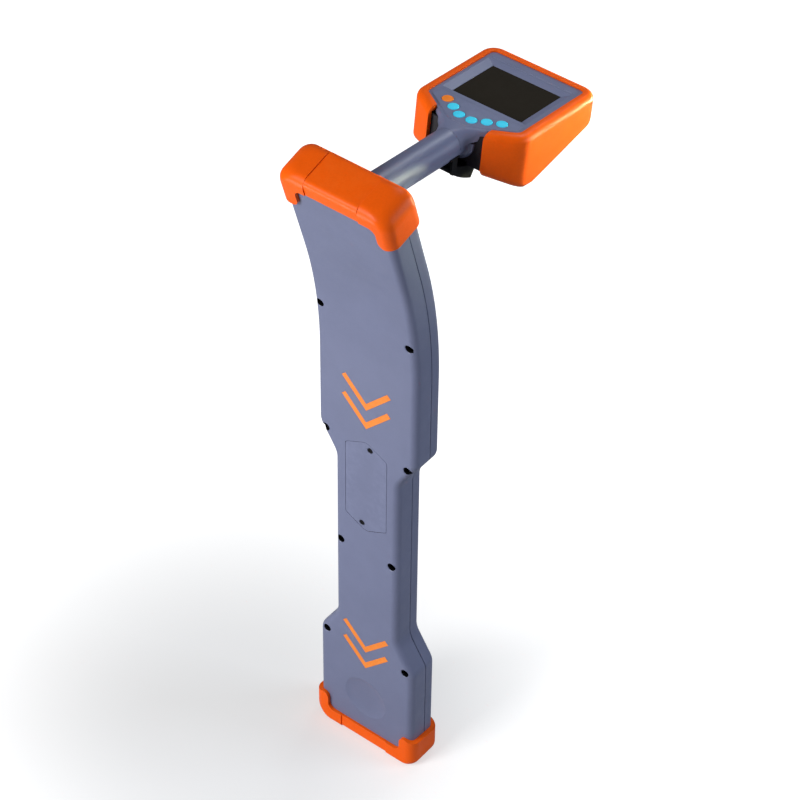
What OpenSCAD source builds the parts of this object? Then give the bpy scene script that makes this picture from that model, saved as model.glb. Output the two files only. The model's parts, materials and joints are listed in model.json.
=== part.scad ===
// Hand-held cable locator: a flat blade that holds the search coils, two rubber boots,
// a round handle and a display head. Z is up, Y runs from the user towards the display,
// X is the width. The origin is the middle of the flat under the lower boot.

/* [Blade] */
// Width of the lower coil section
lower_w = 111.4; // [100:1:122]
// Width of the narrow battery section
mid_w = 72.4; // [68:1:80]
// Width of the upper coil section
upper_w = 109.6; // [100:1:122]
// Depth of the front shell, from the seam to the front face
front_depth = 20.8; // [19:0.2:24]
// Depth of the back shell, from the seam to the back face
back_depth = 14.5; // [13:0.5:18]
// Rounding of the long edges of both shells
edge_r = 7; // [4:0.5:9]
// Wall of both shells
wall = 3.4; // [2.8:0.1:3.6]
// Gap at the seam, filled by the gasket
seam_gap = 0.6; // [0.4:0.1:1]
// Length of the blade along its seam, boots included
blade_len = 711; // [700:1:730]
// Height at which the blade starts to curve
arc_start = 478; // [470:1:490]
// Radius of the curve, at the seam
arc_r = 465; // [420:5:520]
// Lean of the straight top, in degrees
lean = 16.5; // [14:0.5:18]
// Height at which the lower shoulder starts to narrow
lower_shoulder = 121; // [114:1:126]
// Height at which the upper shoulder starts to widen
upper_shoulder = 355; // [352:1:360]
// Slope of the shoulders from the long axis, in degrees
shoulder_slope = 32; // [26:1:40]
// Outer rounding of the shoulders
shoulder_r = 14; // [10:1:18]
// Inner rounding of the shoulders
waist_r = 25; // [18:1:32]
// Radius of the finger dimple
dimple_r = 24.3; // [16:0.5:28]
// Depth of the finger dimple
dimple_depth = 1.4; // [0.8:0.1:1.6]
// Height of the finger dimple
dimple_z = 58.5; // [56:1:72]

/* [Boots] */
// Rubber over the shells
boot_wall = 3.4; // [2.6:0.2:4.4]
// Height of the boots on both narrow sides
boot_leg = 41; // [36:1:46]
// Height of the boots across the wide faces
boot_strip = 16.5; // [13:0.5:20]
// Half width of the window between the boot legs
boot_window = 43.5; // [38:0.5:46]
// Half width of the thinner middle band
boot_band = 27.6; // [20:1:34]
// Step down to the middle band
boot_step = 0.7; // [0.4:0.1:1]
// Corner rounding of the boots, seen from the front
boot_corner = 18; // [14:1:22]
// Edge rounding under the lower boot
lower_edge = 3; // [2.5:0.5:5]
// Edge rounding over the upper boot
upper_edge = 10; // [7:0.5:12]

/* [Fasteners] */
// Radius of the screw recesses in the front face
recess_r = 3.75; // [3.4:0.05:4.2]
// Radius of the screw shanks
shank_r = 1.5; // [1.2:0.1:1.6]
// Length of the case screws under the head
screw_len = 14; // [11:1:16]
// Radius of the screw posts
post_r = 5; // [4.6:0.1:5.4]

/* [Battery] */
// Half width of the battery cover
cover_half = 23.1; // [22:0.1:25]
// Height of the lower end of the straight cover sides
cover_low = 297; // [294:1:300]
// Length of the straight cover sides
cover_side = 86; // [80:1:90]
// Rise of the arched cover ends
cover_rise = 11; // [9:0.5:12]
// Thickness of the battery cover
cover_t = 2.4; // [2:0.1:2.8]
// Radius of one cell
cell_r = 9.2; // [8.6:0.1:9.2]
// Length of one cell
cell_len = 65; // [60:1:68]

/* [Coils] */
// Radius of the ferrite rods
rod_r = 6; // [5:0.5:6.5]
// Length of the ferrite rods
rod_len = 92; // [84:1:94]
// Radius of the windings
winding_r = 11; // [9.5:0.5:11.5]
// Length of the windings
winding_len = 54; // [44:1:58]
// Distance along the blade to the lower coil
lower_coil_u = 76; // [72:1:80]
// Distance along the blade to the upper coil
upper_coil_u = 640; // [637:1:641]
// Distance along the blade to the upright coil
upright_coil_u = 200; // [196:1:204]
// Length of the upright ferrite rod
upright_len = 78; // [70:1:80]

/* [Handle] */
// Radius of the handle tube
tube_r = 14; // [13:0.5:15]
// Bore radius of the handle tube
tube_bore = 12; // [10.5:0.5:12]
// Height of the panel plane where it crosses the origin
head_z = 683.7; // [680:0.5:688]
// Fall of the handle and panel away from the user, in degrees
head_tilt = 6.5; // [4:0.5:9]
// Depth of the tube axis under the panel plane
tube_drop = 15.5; // [15:0.5:17]

/* [Head] */
// Width over the bumper
head_w = 116; // [110:1:124]
// Distance from the origin to the far end of the bumper
head_far = 227; // [222:1:236]
// Distance from the origin to the near wall of the housing
head_near = 103; // [101:0.5:106]
// Corner rounding at the far end
far_r = 15; // [13:1:20]
// Corner rounding at the near sides
near_r = 17; // [15:1:20]
// Slope of the near sides, in degrees
near_slope = 33; // [28:1:36]
// Half width of the gap between the bumper ends
bumper_gap = 28.7; // [27:0.5:32]
// Depth of the bumper at its near ends
near_drop = 38.5; // [37:0.5:42]
// Depth of the lowest line under the head
low_drop = 54; // [52:0.5:57]
// Distance from the origin to the lowest line
low_y = 131; // [128:1:136]
// Depth of the bumper at the far end
far_drop = 27; // [25:0.5:32]
// Thickness of the bumper at the sides
bumper_t = 3.2; // [2.8:0.1:3.8]
// Width of the bumper rim around the panel
rim_w = 9.5; // [8.5:0.1:11]
// Edge rounding of the bumper
bumper_edge = 6.5; // [4:0.5:8]
// Thickness of the panel
panel_t = 3.2; // [3:0.1:4]
// Wall of the head housing
head_wall = 1.7; // [1.5:0.1:2.2]
// Half width of the screen
screen_half = 35.9; // [33:0.1:37]
// Near edge of the screen
screen_y = 140; // [138:0.5:142]
// Length of the screen away from the user
screen_len = 59.2; // [54:0.2:61]
// Depth of the bevel around the screen
bevel_depth = 1; // [0.6:0.1:1.2]
// Width of the bevel beside the screen
bevel_w = 7.5; // [4:0.5:8]
// Radius of the keys
key_r = 5.1; // [4.4:0.1:5.4]
// Travel of the keys
key_travel = 0.8; // [0.5:0.1:1]
// Distance from the origin to the two middle keys
key_y = 111.1; // [110.8:0.1:113]
// Slope of the key row on both sides, in degrees
key_fan = 31; // [29:1:34]
// Spacing of the keys
key_pitch = 12.9; // [12.4:0.1:13]

/* [Trigger] */
// Half width of the trigger
trigger_half = 11.5; // [9:0.5:12]
// Distance from the origin to the trigger pivot
pivot_y = 82.5; // [80:0.5:85]
// Depth of the pivot under the tube
pivot_drop = 4.8; // [4.6:0.1:6]
// Squeeze angle of the trigger, in degrees
squeeze = 8; // [4:1:8]

/* [Hidden] */

$fn = 48;
fit = 0.1;                  // between pieces of one assembly
play = 0.3;                 // between pieces that move
datum_len = 711;            // blade length for which the heights above the waist are given
top_rise = blade_len - datum_len;
curve_start = arc_start + top_rise;
head_level = head_z + top_rise;
top_coil_u = upper_coil_u + top_rise;
arc_len = arc_r * lean * PI / 180;
arc_end = curve_start + arc_len;
shell_top = blade_len - boot_wall - fit;
shell_low = boot_wall + fit;
end_r = boot_corner - boot_wall;
shell_grey = [0.42, 0.45, 0.58];
rubber_orange = [0.98, 0.42, 0.05];

// Place on the seam line at the distance u from the foot
function lean_at(u) = u <= curve_start ? 0 : u >= arc_end ? lean : (u - curve_start) / arc_len * lean;
function past(u) = max(u - arc_end, 0);
function seam_y(u) = -arc_r * (1 - cos(lean_at(u))) - past(u) * sin(lean);
function seam_z(u) = min(u, curve_start) + arc_r * sin(lean_at(u)) + past(u) * cos(lean);

module at(u) {
    translate([0, seam_y(u), seam_z(u)])
        rotate([lean_at(u), 0, 0])
            children();
}

// Frame of the handle and head: Y along the tube, Z out of the panel
module head_frame() {
    translate([0, 0, head_level])
        rotate([-head_tilt, 0, 0])
            children();
}

// Steps of an arc from angle a to angle b
function sweep(a, b, n) = [for (i = [0:n]) a + (b - a) * i / n];

// Solid through rows of points. Each row is mirror-symmetric, so point i pairs with the
// point as far from the row's other end, and the two end faces are strips between pairs.
module loft(rows) {
    n = len(rows[0]);
    m = len(rows);
    points = [for (row = rows) for (p = row) p];
    sides = [for (k = [0:m - 2]) for (i = [0:n - 1]) let (j = (i + 1) % n)
        each [[k * n + i, (k + 1) * n + j, k * n + j], [k * n + i, (k + 1) * n + i, (k + 1) * n + j]]];
    start = [for (i = [0:n / 2 - 2])
        each [[i, n - 2 - i, n - 1 - i], [i, i + 1, n - 2 - i]]];
    top = (m - 1) * n;
    finish = [for (i = [0:n / 2 - 2])
        each [[top + i, top + n - 1 - i, top + n - 2 - i], [top + i, top + n - 2 - i, top + i + 1]]];
    polyhedron(points, concat(sides, start, finish), convexity = 8);
}

// Outline of the blade: pairs of distance along the seam and half width, inset all round
function narrowing(wide, narrow) = (wide - narrow) / 2;
function shoulder_len(drop) =
    (drop - (shoulder_r + waist_r) * (1 - cos(shoulder_slope))) / tan(shoulder_slope)
    + (shoulder_r + waist_r) * sin(shoulder_slope);

function outline(inset) =
    let (rc = shoulder_r - inset, rv = waist_r + inset, re = end_r - inset,
        wl = lower_w / 2 - inset, wm = mid_w / 2 - inset, wu = upper_w / 2 - inset,
        low = shell_low + inset, high = shell_top - inset,
        waist = lower_shoulder + shoulder_len(narrowing(lower_w, mid_w)),
        wide = upper_shoulder + shoulder_len(narrowing(upper_w, mid_w)))
    concat(
        [for (a = sweep(90, 0, 4)) [low + re - re * sin(a), wl - re + re * cos(a)]],
        [for (a = sweep(0, shoulder_slope, 3)) [lower_shoulder + rc * sin(a), wl - rc * (1 - cos(a))]],
        [for (a = sweep(shoulder_slope, 0, 4)) [waist - rv * sin(a), wm + rv * (1 - cos(a))]],
        [for (a = sweep(0, shoulder_slope, 4)) [upper_shoulder + rv * sin(a), wm + rv * (1 - cos(a))]],
        [for (a = sweep(shoulder_slope, 0, 3)) [wide - rc * sin(a), wu - rc * (1 - cos(a))]],
        [for (u = sweep(curve_start, arc_end, 10)) [u, wu]],
        [for (a = sweep(0, 90, 4)) [high - re + re * sin(a), wu - re + re * cos(a)]]
    );

// One row of the blade: x and distance from the seam become points in space
function blade_row(u, flat) = [for (p = flat)
    [p[0], seam_y(u) + p[1] * cos(lean_at(u)), seam_z(u) + p[1] * sin(lean_at(u))]];

// Cross-section of one half: side -1 is the front, 1 the back
function half_section(w, near, far, r, side, steps) =
    let (right = concat([[w, side * near]],
        [for (a = sweep(0, 90, steps)) [w - r + r * cos(a), side * (far - r + r * sin(a))]]))
    side > 0 ? concat(right, mirrored(right)) : reversed(concat(right, mirrored(right)));
function mirrored(points) = [for (i = [len(points) - 1:-1:0]) [-points[i][0], points[i][1]]];
function reversed(points) = [for (i = [len(points) - 1:-1:0]) points[i]];

module half_form(side, inset, near, steps = 6) {
    depth = (side < 0 ? front_depth : back_depth) - inset;
    loft([for (p = outline(inset))
        blade_row(p[0], half_section(p[1], near, depth, edge_r - inset, side, steps))]);
}

// Whole cross-section over a stretch of the blade, grown by the fit, to hollow a boot
function full_section(w, g, steps) =
    let (r = edge_r + g, front = front_depth + g, back = back_depth + g)
    both(concat([for (a = sweep(-90, 0, steps)) [w - r + r * cos(a), -front + r + r * sin(a)]],
        [for (a = sweep(0, 90, steps)) [w - r + r * cos(a), back - r + r * sin(a)]]));
module blade_stretch(u0, u1) {
    loft([for (p = outline(-fit)) if (p[0] > u0 && p[0] < u1)
        blade_row(p[0], full_section(p[1], fit, 6))]);
}

// Flat ring along the seam, between two insets
module seam_ring(outer, inner, half_t) {
    difference() {
        loft([for (p = outline(outer)) blade_row(p[0], seam_section(p[1], half_t))]);
        loft([for (p = outline(inner)) blade_row(p[0], seam_section(p[1], half_t + 1))]);
    }
}
function seam_section(w, half_t) = [[w, -half_t], [w, half_t], [-w, half_t], [-w, -half_t]];

// Case screws: distance along the seam and half spacing of each pair
corner_inset = 9.1;         // from the side to a screw beside a shoulder
side_inset = 6.9;           // from the side to the other screws
case_pairs = [
    [lower_shoulder + 4.8, lower_w / 2 - corner_inset],
    [cover_low - 40.2, mid_w / 2 - side_inset],
    [upper_shoulder + 31.8, upper_w / 2 - corner_inset],
    [curve_start + 56.6, upper_w / 2 - side_inset]
];
module each_case_screw() {
    for (pair = case_pairs)
        for (s = [-1, 1])
            at(pair[0])
                translate([s * pair[1], 0, 0])
                    children();
}
head_h = 2;                 // height of a screw head
head_r = 2.9;               // radius of a screw head
web = 3;                    // plastic under a sunk screw head
// Rod along Y from y0 to y1
module along_y(r, y0, y1) {
    translate([0, y0, 0])
        rotate([-90, 0, 0])
            cylinder(r = r, h = y1 - y0);
}
module across_x(r, x0, x1) {
    translate([x0, 0, 0])
        rotate([0, 90, 0])
            cylinder(r = r, h = x1 - x0);
}
// Pan head screw whose head sits at y0 and whose shank runs to +Y
module pan_screw(y0, length, r = shank_r, hr = head_r) {
    difference() {
        along_y(hr, y0 - head_h, y0);
        along_y(hr * 0.45, y0 - head_h - 1, y0 - head_h / 2);
    }
    along_y(r, y0, y0 + length);
}

// Battery cover outline, grown all round by g
arch_r = (pow(cover_half, 2) + pow(cover_rise, 2)) / (2 * cover_rise);
cover_mid = cover_low + cover_side / 2;
cover_corner = 3;
function cover_points(g) =
    let (rc = cover_corner + g, ra = arch_r + g, hw = cover_half + g,
        yc = cover_side / 2 + cover_rise - arch_r,
        yk = yc + sqrt(pow(ra - rc, 2) - pow(hw - rc, 2)),
        turn = atan2(yk - yc, hw - rc),
        quarter = concat([for (a = sweep(0, turn, 3)) [hw - rc + rc * cos(a), yk + rc * sin(a)]],
            [for (a = sweep(turn, 90, 6)) [ra * cos(a), yc + ra * sin(a)]]),
        half = concat(quarter, [for (i = [len(quarter) - 2:-1:0]) [-quarter[i][0], quarter[i][1]]]))
    concat(half, [for (p = half) [-p[0], -p[1]]]);

module cover_plate(g, y0, y1) {
    translate([0, y1, cover_mid])
        rotate([90, 0, 0])
            linear_extrude(y1 - y0)
                polygon(cover_points(g));
}
ledge = 2.5;                // width of the ledge under the cover
ledge_t = 2.4;              // thickness of that ledge
cover_gap = 0.35;
cover_screw_x = 4.5;
cover_screw_z = cover_side / 2 + cover_rise - 7;
module each_cover_screw() {
    for (s = [-1, 1])
        translate([s * cover_screw_x, 0, cover_mid + s * cover_screw_z])
            children();
}
cover_bed = -front_depth + cover_t + fit;   // plane that the cover rests on

// Chevrons: two arms at the slope of 46 degrees, ends cut square
chevron_arm = 33;
chevron_t = 5.6;
chevron_deep = 0.6;
chevron_slope = 46;
module chevron(z, grow = 0) {
    rise = chevron_t / cos(chevron_slope) + grow;
    t = chevron_t + 2 * grow * cos(chevron_slope);
    arm = chevron_arm + grow;
    end = [arm * cos(chevron_slope), arm * sin(chevron_slope) + grow];
    drop = [t * sin(chevron_slope), -t * cos(chevron_slope)];
    at(z)
        translate([0, -front_depth + chevron_deep + grow, 0])
            rotate([90, 0, 0])
                linear_extrude(chevron_deep + 2 * grow)
                    polygon([[0, grow], end, end + drop, [0, -rise], [-end[0] - drop[0], end[1] + drop[1]],
                        [-end[0], end[1]]]);
}
chevron_step = 21.8;
upper_chevron = upper_shoulder + 85.5;
lower_chevron = lower_shoulder + 10;
upper_chevron_z = [upper_chevron, upper_chevron - chevron_step];
lower_chevron_z = [lower_chevron, lower_chevron - chevron_step];

// Handle socket in the back shell, on the tube axis
axis_y = -tube_drop * sin(head_tilt);
axis_z = head_level - tube_drop * cos(head_tilt);
axis_off = (axis_y - seam_y(arc_end)) * cos(lean) + (axis_z - seam_z(arc_end)) * sin(lean);
socket_r = tube_r + 4.5;
socket_off = -3.6;          // where the socket ends on the tube axis, from the seam
socket_in = (socket_off - axis_off) / cos(lean + head_tilt);
socket_out = 3;             // how far the collar stands off the back face
tube_start = socket_in + 3;
module tube_axis() {
    head_frame()
        translate([0, 0, -tube_drop])
            children();
}
// Half space behind a plane at the given distance from the seam, near the top of the blade
module behind(off) {
    side = 2 * upper_w;
    at(arc_end + 1)
        translate([-side / 2, off - side, -60])
            cube([side, side, side]);
}
socket_screw_y = -30;
module each_socket_screw() {
    for (s = [0, 1])
        translate([0, socket_screw_y, 0])
            rotate([0, 90 + s * 180, 0])
                rotate([90, 0, 0])
                    children();
}

// Coils
coil_off = -front_depth + wall + winding_r + 0.4;   // windings lie close behind the front wall
clip_t = 8;
clip_gap = 7;               // from the end of a rod to the middle of its clip
clip_wall = 2.5;
flange_t = 2;               // flanges of a bobbin
wire_sink = 1;              // how far the wire lies under the flanges
lead_room = 10;             // between the two halves of the upper winding
back_wall = back_depth - wall;
module coil_clip(x) {
    difference() {
        union() {
            translate([x - clip_t / 2, coil_off, -rod_r - clip_wall])
                cube([clip_t, back_wall - coil_off, 2 * (rod_r + clip_wall)]);
            translate([0, coil_off, 0])
                across_x(rod_r + clip_wall, x - clip_t / 2, x + clip_t / 2);
        }
        translate([0, coil_off, 0])
            across_x(rod_r + fit, x - clip_t, x + clip_t);
    }
}
module coil_clips() {
    for (s = [-1, 1])
        coil_clip(s * (rod_len / 2 - clip_gap));
}
module rod(length) {
    translate([0, coil_off, 0])
        across_x(rod_r, -length / 2, length / 2);
}
// Bobbin: flanges, a sunk stretch of wire between them and a bore for the rod
module bobbin(x0, x1) {
    wire_r = winding_r - wire_sink;
    translate([0, coil_off, 0])
        rotate([0, 90, 0])
            rotate_extrude()
                polygon([[rod_r + fit, x0], [winding_r, x0], [winding_r, x0 + flange_t],
                    [wire_r, x0 + flange_t], [wire_r, x1 - flange_t],
                    [winding_r, x1 - flange_t], [winding_r, x1], [rod_r + fit, x1]]);
}
module upright(u) {
    at(u)
        rotate([0, 90, 0])
            children();
}

// Main board, flat in the curved section
board_u = curve_start + 67;
board_w = 84;
board_h = 132;
board_t = 1.6;
board_off = -2;             // front face of the board, from the seam
board_hole_x = 36;
board_hole_z = 60;
board_post_r = 3.2;
board_sag = pow(board_hole_z, 2) / (2 * arc_r);
module each_board_hole() {
    for (x = [-1, 1])
        for (z = [-1, 1])
            translate([x * board_hole_x, 0, z * board_hole_z])
                children();
}

// Body

module front_shell() {
    color(shell_grey)
        difference() {
            union() {
                difference() {
                    half_form(-1, 0, seam_gap / 2);
                    half_form(-1, wall, -1, 3);
                    cover_plate(cover_gap, -front_depth - 1, cover_bed);
                    cover_plate(-ledge, -front_depth - 1, 0);
                }
                difference() {
                    cover_plate(ledge, cover_bed, cover_bed + ledge_t);
                    cover_plate(-ledge, cover_bed - 1, cover_bed + ledge_t + 1);
                }
                each_cover_screw()
                    along_y(4.2, cover_bed, cover_bed + 7);
                each_case_screw()
                    along_y(post_r, -front_depth + wall - 0.6, -seam_gap / 2);
            }
            each_case_screw() {
                along_y(recess_r, -front_depth - 3, -seam_gap / 2 - web);
                along_y(shank_r + fit, -seam_gap / 2 - web - 1, 1);
            }
            each_cover_screw()
                along_y(1.1 + 0.05, cover_bed - 1, cover_bed + 6);
            translate([0, -front_depth + dimple_depth - dimple_sphere, dimple_z])
                sphere(r = dimple_sphere, $fn = 96);
            for (z = concat(upper_chevron_z, lower_chevron_z))
                chevron(z, 0.05);
        }
}
dimple_sphere = (pow(dimple_r, 2) + pow(dimple_depth, 2)) / (2 * dimple_depth);

module back_shell() {
    color(shell_grey)
        difference() {
            union() {
                difference() {
                    half_form(1, 0, seam_gap / 2);
                    half_form(1, wall, -1, 3);
                }
                each_case_screw()
                    along_y(post_r - 1, seam_gap / 2, back_depth - wall + 0.6);
                intersection() {
                    tube_axis()
                        along_y(socket_r, socket_in, 20);
                    behind(back_depth + socket_out);
                }
                at(board_u)
                    each_board_hole()
                        along_y(board_post_r, board_off + board_t, back_depth - board_sag - wall / 2);
            }
            each_case_screw()
                along_y(shank_r + 0.05, -1, screw_len - web + 0.5);
            tube_axis()
                along_y(tube_r + 0.05, tube_start, 30);
            tube_axis()
                along_y(tube_bore, socket_in - 1, 0);
            tube_axis()
                each_socket_screw()
                    along_y(shank_r + 0.05, -socket_r - 1, 0);
            at(board_u)
                each_board_hole()
                    along_y(1.15, board_off, board_off + board_t + 6);
        }
}

module seam_gasket() {
    color([0.1, 0.1, 0.12])
        difference() {
            seam_ring(0.9, 2.4, seam_gap / 2);
            each_case_screw()
                along_y(post_r + fit, -3, 3);
        }
}

module case_screws() {
    color([0.12, 0.12, 0.13])
        each_case_screw()
            pan_screw(-seam_gap / 2 - web, screw_len);
}

module battery_cover() {
    color(shell_grey)
        difference() {
            cover_plate(0, -front_depth, -front_depth + cover_t);
            each_cover_screw() {
                along_y(3, -front_depth - 1, -front_depth + 1.4);
                along_y(1.3, -front_depth, cover_bed + 1);
            }
        }
}

module cover_screws() {
    color([0.12, 0.12, 0.13])
        each_cover_screw()
            intersection() {
                pan_screw(-front_depth + 1.4, 6.5, 1.1, 2.4);
                along_y(5, -front_depth + 0.2, 0);
            }
}

tray_half = 2 * cell_r + 1.4;
tray_wall = 1.4;
tray_mid = cover_mid;
contact_room = 5;
tray_len = cell_len / 2 + contact_room;
cell_off = cover_bed + ledge_t + 0.4 + cell_r;   // cells lie close behind the cover
tray_foot = 8;
// Open box that stands on four feet on the back shell
module battery_tray() {
    floor_off = cell_off + cell_r + fit;
    color([0.16, 0.16, 0.18]) {
        difference() {
            translate([-tray_half, cell_off - 3, tray_mid - tray_len - tray_wall])
                cube([2 * tray_half, floor_off + tray_wall - cell_off + 3, 2 * (tray_len + tray_wall)]);
            translate([-tray_half + 1, cell_off - 4, tray_mid - tray_len])
                cube([2 * tray_half - 2, floor_off - cell_off + 4, 2 * tray_len]);
        }
        for (x = [-tray_half, tray_half - tray_foot])
            for (z = [-tray_len, tray_len - tray_foot])
                translate([x, floor_off + tray_wall / 2, tray_mid + z])
                    cube([tray_foot, back_wall - floor_off - tray_wall / 2, tray_foot]);
    }
}

module each_cell() {
    for (s = [-1, 1])
        translate([s * (cell_r + fit), cell_off, tray_mid])
            children();
}
module battery_cells() {
    color([0.2, 0.35, 0.6])
        each_cell() {
            translate([0, 0, -cell_len / 2])
                cylinder(r = cell_r, h = cell_len);
            translate([0, 0, cell_len / 2])
                cylinder(r = 3, h = 1);
        }
}

module battery_contacts() {
    color([0.85, 0.82, 0.7])
        each_cell() {
            translate([-5, -5, tray_len - 0.5])
                cube([10, 10, 0.5]);
            translate([0, 0, cell_len / 2 + 1.1])
                cylinder(r = 2, h = tray_len - 0.5 - cell_len / 2 - 1.1);
            translate([-5, -5, -tray_len])
                cube([10, 10, 0.5]);
            translate([0, 0, -tray_len + 0.5])
                cylinder(r1 = 4.5, r2 = 2.5, h = tray_len - 0.5 - cell_len / 2 - fit);
        }
}

module upper_chevrons() {
    color([1, 0.6, 0.2])
        for (z = upper_chevron_z)
            chevron(z);
}

module lower_chevrons() {
    color([1, 0.6, 0.2])
        for (z = lower_chevron_z)
            chevron(z);
}

// Boots: a rounded cup around one end of the blade, end face at z = 0 and legs towards +Z
side_r = edge_r + boot_wall;
module boot_form(w, edge, less, end_less) {
    half = w / 2 + boot_wall - less;
    front = front_depth + boot_wall - less;
    back = back_depth + boot_wall - less;
    ring = boot_corner - edge;
    hull() {
        for (s = [-1, 1]) {
            for (y = [-front + edge, back - edge])
                translate([s * (half - boot_corner), y, boot_corner + end_less])
                    rotate([90, 0, 0])
                        rotate_extrude($fn = 32)
                            intersection() {
                                translate([ring, 0])
                                    circle(r = edge, $fn = 24);
                                translate([0, -edge])
                                    square([boot_corner, 2 * edge]);
                            }
            for (y = [-front + side_r, back - side_r])
                translate([s * (half - side_r), y, boot_leg - 1])
                    cylinder(r = side_r, h = 1, $fn = 32);
        }
    }
}
module boot(w, edge, end_step) {
    window_r = 7;
    difference() {
        union() {
            difference() {
                boot_form(w, edge, 0, 0);
                translate([-boot_band, -60, -1])
                    cube([2 * boot_band, 120, 60]);
            }
            intersection() {
                boot_form(w, edge, boot_step, end_step);
                translate([-boot_band, -60, -1])
                    cube([2 * boot_band, 120, 60]);
            }
        }
        translate([0, 60, 0])
            rotate([90, 0, 0])
                linear_extrude(120)
                    boot_window_shape(window_r);
    }
}
// Opening between the legs: rounded lower corners, flared out at the leg ends
module boot_window_shape(r) {
    difference() {
        translate([-boot_window - r, boot_strip])
            square([2 * (boot_window + r), 60]);
        for (s = [-1, 1]) {
            difference() {
                translate([s > 0 ? boot_window - r : -boot_window - 2 * r, boot_strip - 1])
                    square([3 * r, boot_leg - boot_strip - r + 1]);
                hull() {
                    translate([s * (boot_window - r), boot_strip + r])
                        circle(r = r);
                    translate([s * (boot_window - 3 * r), boot_strip + r])
                        circle(r = r);
                    translate([s * (boot_window - r), boot_leg + r])
                        circle(r = r);
                    translate([s * (boot_window - 3 * r), boot_leg + r])
                        circle(r = r);
                }
            }
            translate([s * (boot_window + r), boot_leg - r])
                circle(r = r);
            translate([s > 0 ? boot_window + r : -boot_window - 2 * r, boot_leg - r])
                square([r, 2 * r]);
        }
    }
}

module lower_boot() {
    color(rubber_orange)
        difference() {
            boot(lower_w, lower_edge, 0);
            blade_stretch(0, lower_shoulder + 1);
        }
}

module upper_boot() {
    color(rubber_orange)
        difference() {
            at(blade_len)
                mirror([0, 0, 1])
                    boot(upper_w, upper_edge, boot_step);
            blade_stretch(arc_end - 1, blade_len);
        }
}

module lower_rod() {
    color([0.25, 0.24, 0.25])
        at(lower_coil_u)
            rod(rod_len);
}
module lower_winding() {
    color([0.75, 0.4, 0.2])
        at(lower_coil_u)
            bobbin(-winding_len / 2, winding_len / 2);
}
module lower_clips() {
    color([0.2, 0.2, 0.22])
        at(lower_coil_u)
            coil_clips();
}
module upper_rod() {
    color([0.25, 0.24, 0.25])
        at(top_coil_u)
            rod(rod_len);
}
// In two halves, so that the loom from the handle passes between them
module upper_winding() {
    color([0.75, 0.4, 0.2])
        at(top_coil_u) {
            bobbin(-(winding_len + lead_room) / 2, -lead_room / 2);
            bobbin(lead_room / 2, (winding_len + lead_room) / 2);
        }
}
module upper_clips() {
    color([0.2, 0.2, 0.22])
        at(top_coil_u)
            coil_clips();
}
module upright_rod() {
    color([0.25, 0.24, 0.25])
        upright(upright_coil_u)
            rod(upright_len);
}
module upright_winding() {
    color([0.75, 0.4, 0.2])
        upright(upright_coil_u)
            bobbin(-winding_len / 2 + 3, winding_len / 2 - 3);
}
module upright_clips() {
    color([0.2, 0.2, 0.22])
        upright(upright_coil_u)
            for (s = [-1, 1])
                coil_clip(s * (upright_len / 2 - clip_gap));
}

module main_board() {
    color([0.1, 0.4, 0.2])
        at(board_u)
            difference() {
                translate([-board_w / 2, board_off, -board_h / 2])
                    cube([board_w, board_t, board_h]);
                each_board_hole()
                    along_y(1.3, board_off - 1, board_off + board_t + 1);
            }
}
module main_chips() {
    chips = [[-22, 28, 14, 14, 2], [8, 30, 18, 10, 2.5], [-25, -8, 10, 16, 2], [4, -12, 20, 20, 3],
        [26, 8, 8, 12, 4], [-10, -44, 26, 8, 6], [24, -40, 12, 12, 5], [-2, 57, 22, 9, 10]];
    color([0.08, 0.08, 0.09])
        at(board_u)
            for (c = chips)
                translate([c[0] - c[2] / 2, board_off - c[4], c[1] - c[3] / 2])
                    cube([c[2], c[4], c[3]]);
}
module board_screws() {
    color([0.8, 0.8, 0.82])
        at(board_u)
            each_board_hole()
                pan_screw(board_off, 6, 1.1, 2.4);
}

ribbon_w = 4;
ribbon_x = -22.6;
ribbon_t = 0.9;
ribbon_off = back_wall - fit;
module ribbon_cable() {
    section = [[ribbon_x + ribbon_w / 2, ribbon_off - ribbon_t], [ribbon_x + ribbon_w / 2, ribbon_off],
        [ribbon_x - ribbon_w / 2, ribbon_off], [ribbon_x - ribbon_w / 2, ribbon_off - ribbon_t]];
    bent = sweep(curve_start, arc_end, 10);
    color([0.7, 0.7, 0.72])
        loft([for (u = [lower_coil_u + 16, bent[0], bent[1], bent[2]]) blade_row(u, section)]);
}

// Handle

flare_r = 4;
neck_t = 2;                 // straight end of the flare
module handle_tube() {
    tube_end = head_near - fit;
    color(shell_grey)
        head_frame()
            difference() {
                translate([0, 0, -tube_drop])
                    union() {
                        along_y(tube_r, tube_start + 0.05, tube_end);
                        difference() {
                            flare(tube_end);
                            translate([-30, tube_end - 20, saddle_skirt - fit])
                                cube([60, 30, 40]);
                        }
                    }
                translate([0, 0, -tube_drop]) {
                    along_y(tube_bore, tube_start - 1, tube_end - neck_plug);
                    along_y(neck_bore, 0, tube_end + 1);
                }
                translate([0, 0, -tube_drop]) {
                    each_neck_screw()
                        along_y(1.25, tube_end - 8, tube_end + 1);
                    each_socket_screw()
                        along_y(shank_r + 0.05, -tube_r - 1, -tube_bore + 1);
                    each_bracket_rivet()
                        cylinder(r = 1.1, h = 8, center = true);
                }
            }
}
// Trumpet at the end of the tube
module flare(y1) {
    translate([0, y1, 0])
        rotate([90, 0, 0])
            rotate_extrude()
                difference() {
                    translate([tube_r - 1, 0])
                        square([flare_r + 1, neck_t + flare_r]);
                    translate([tube_r + flare_r, neck_t + flare_r])
                        circle(r = flare_r);
                }
}
neck_bore = 8.4;              // bore through the thick end of the tube
neck_plug = 9;              // length of that thick end
neck_r = 11.3;
saddle_skirt = 1.5;         // how far above the tube axis the saddle's skirts end
module each_neck_screw() {
    for (s = [-1, 1])
        for (a = [-40, 10])
            translate([s * neck_r * cos(a), 0, neck_r * sin(a)])
                children();
}

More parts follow.
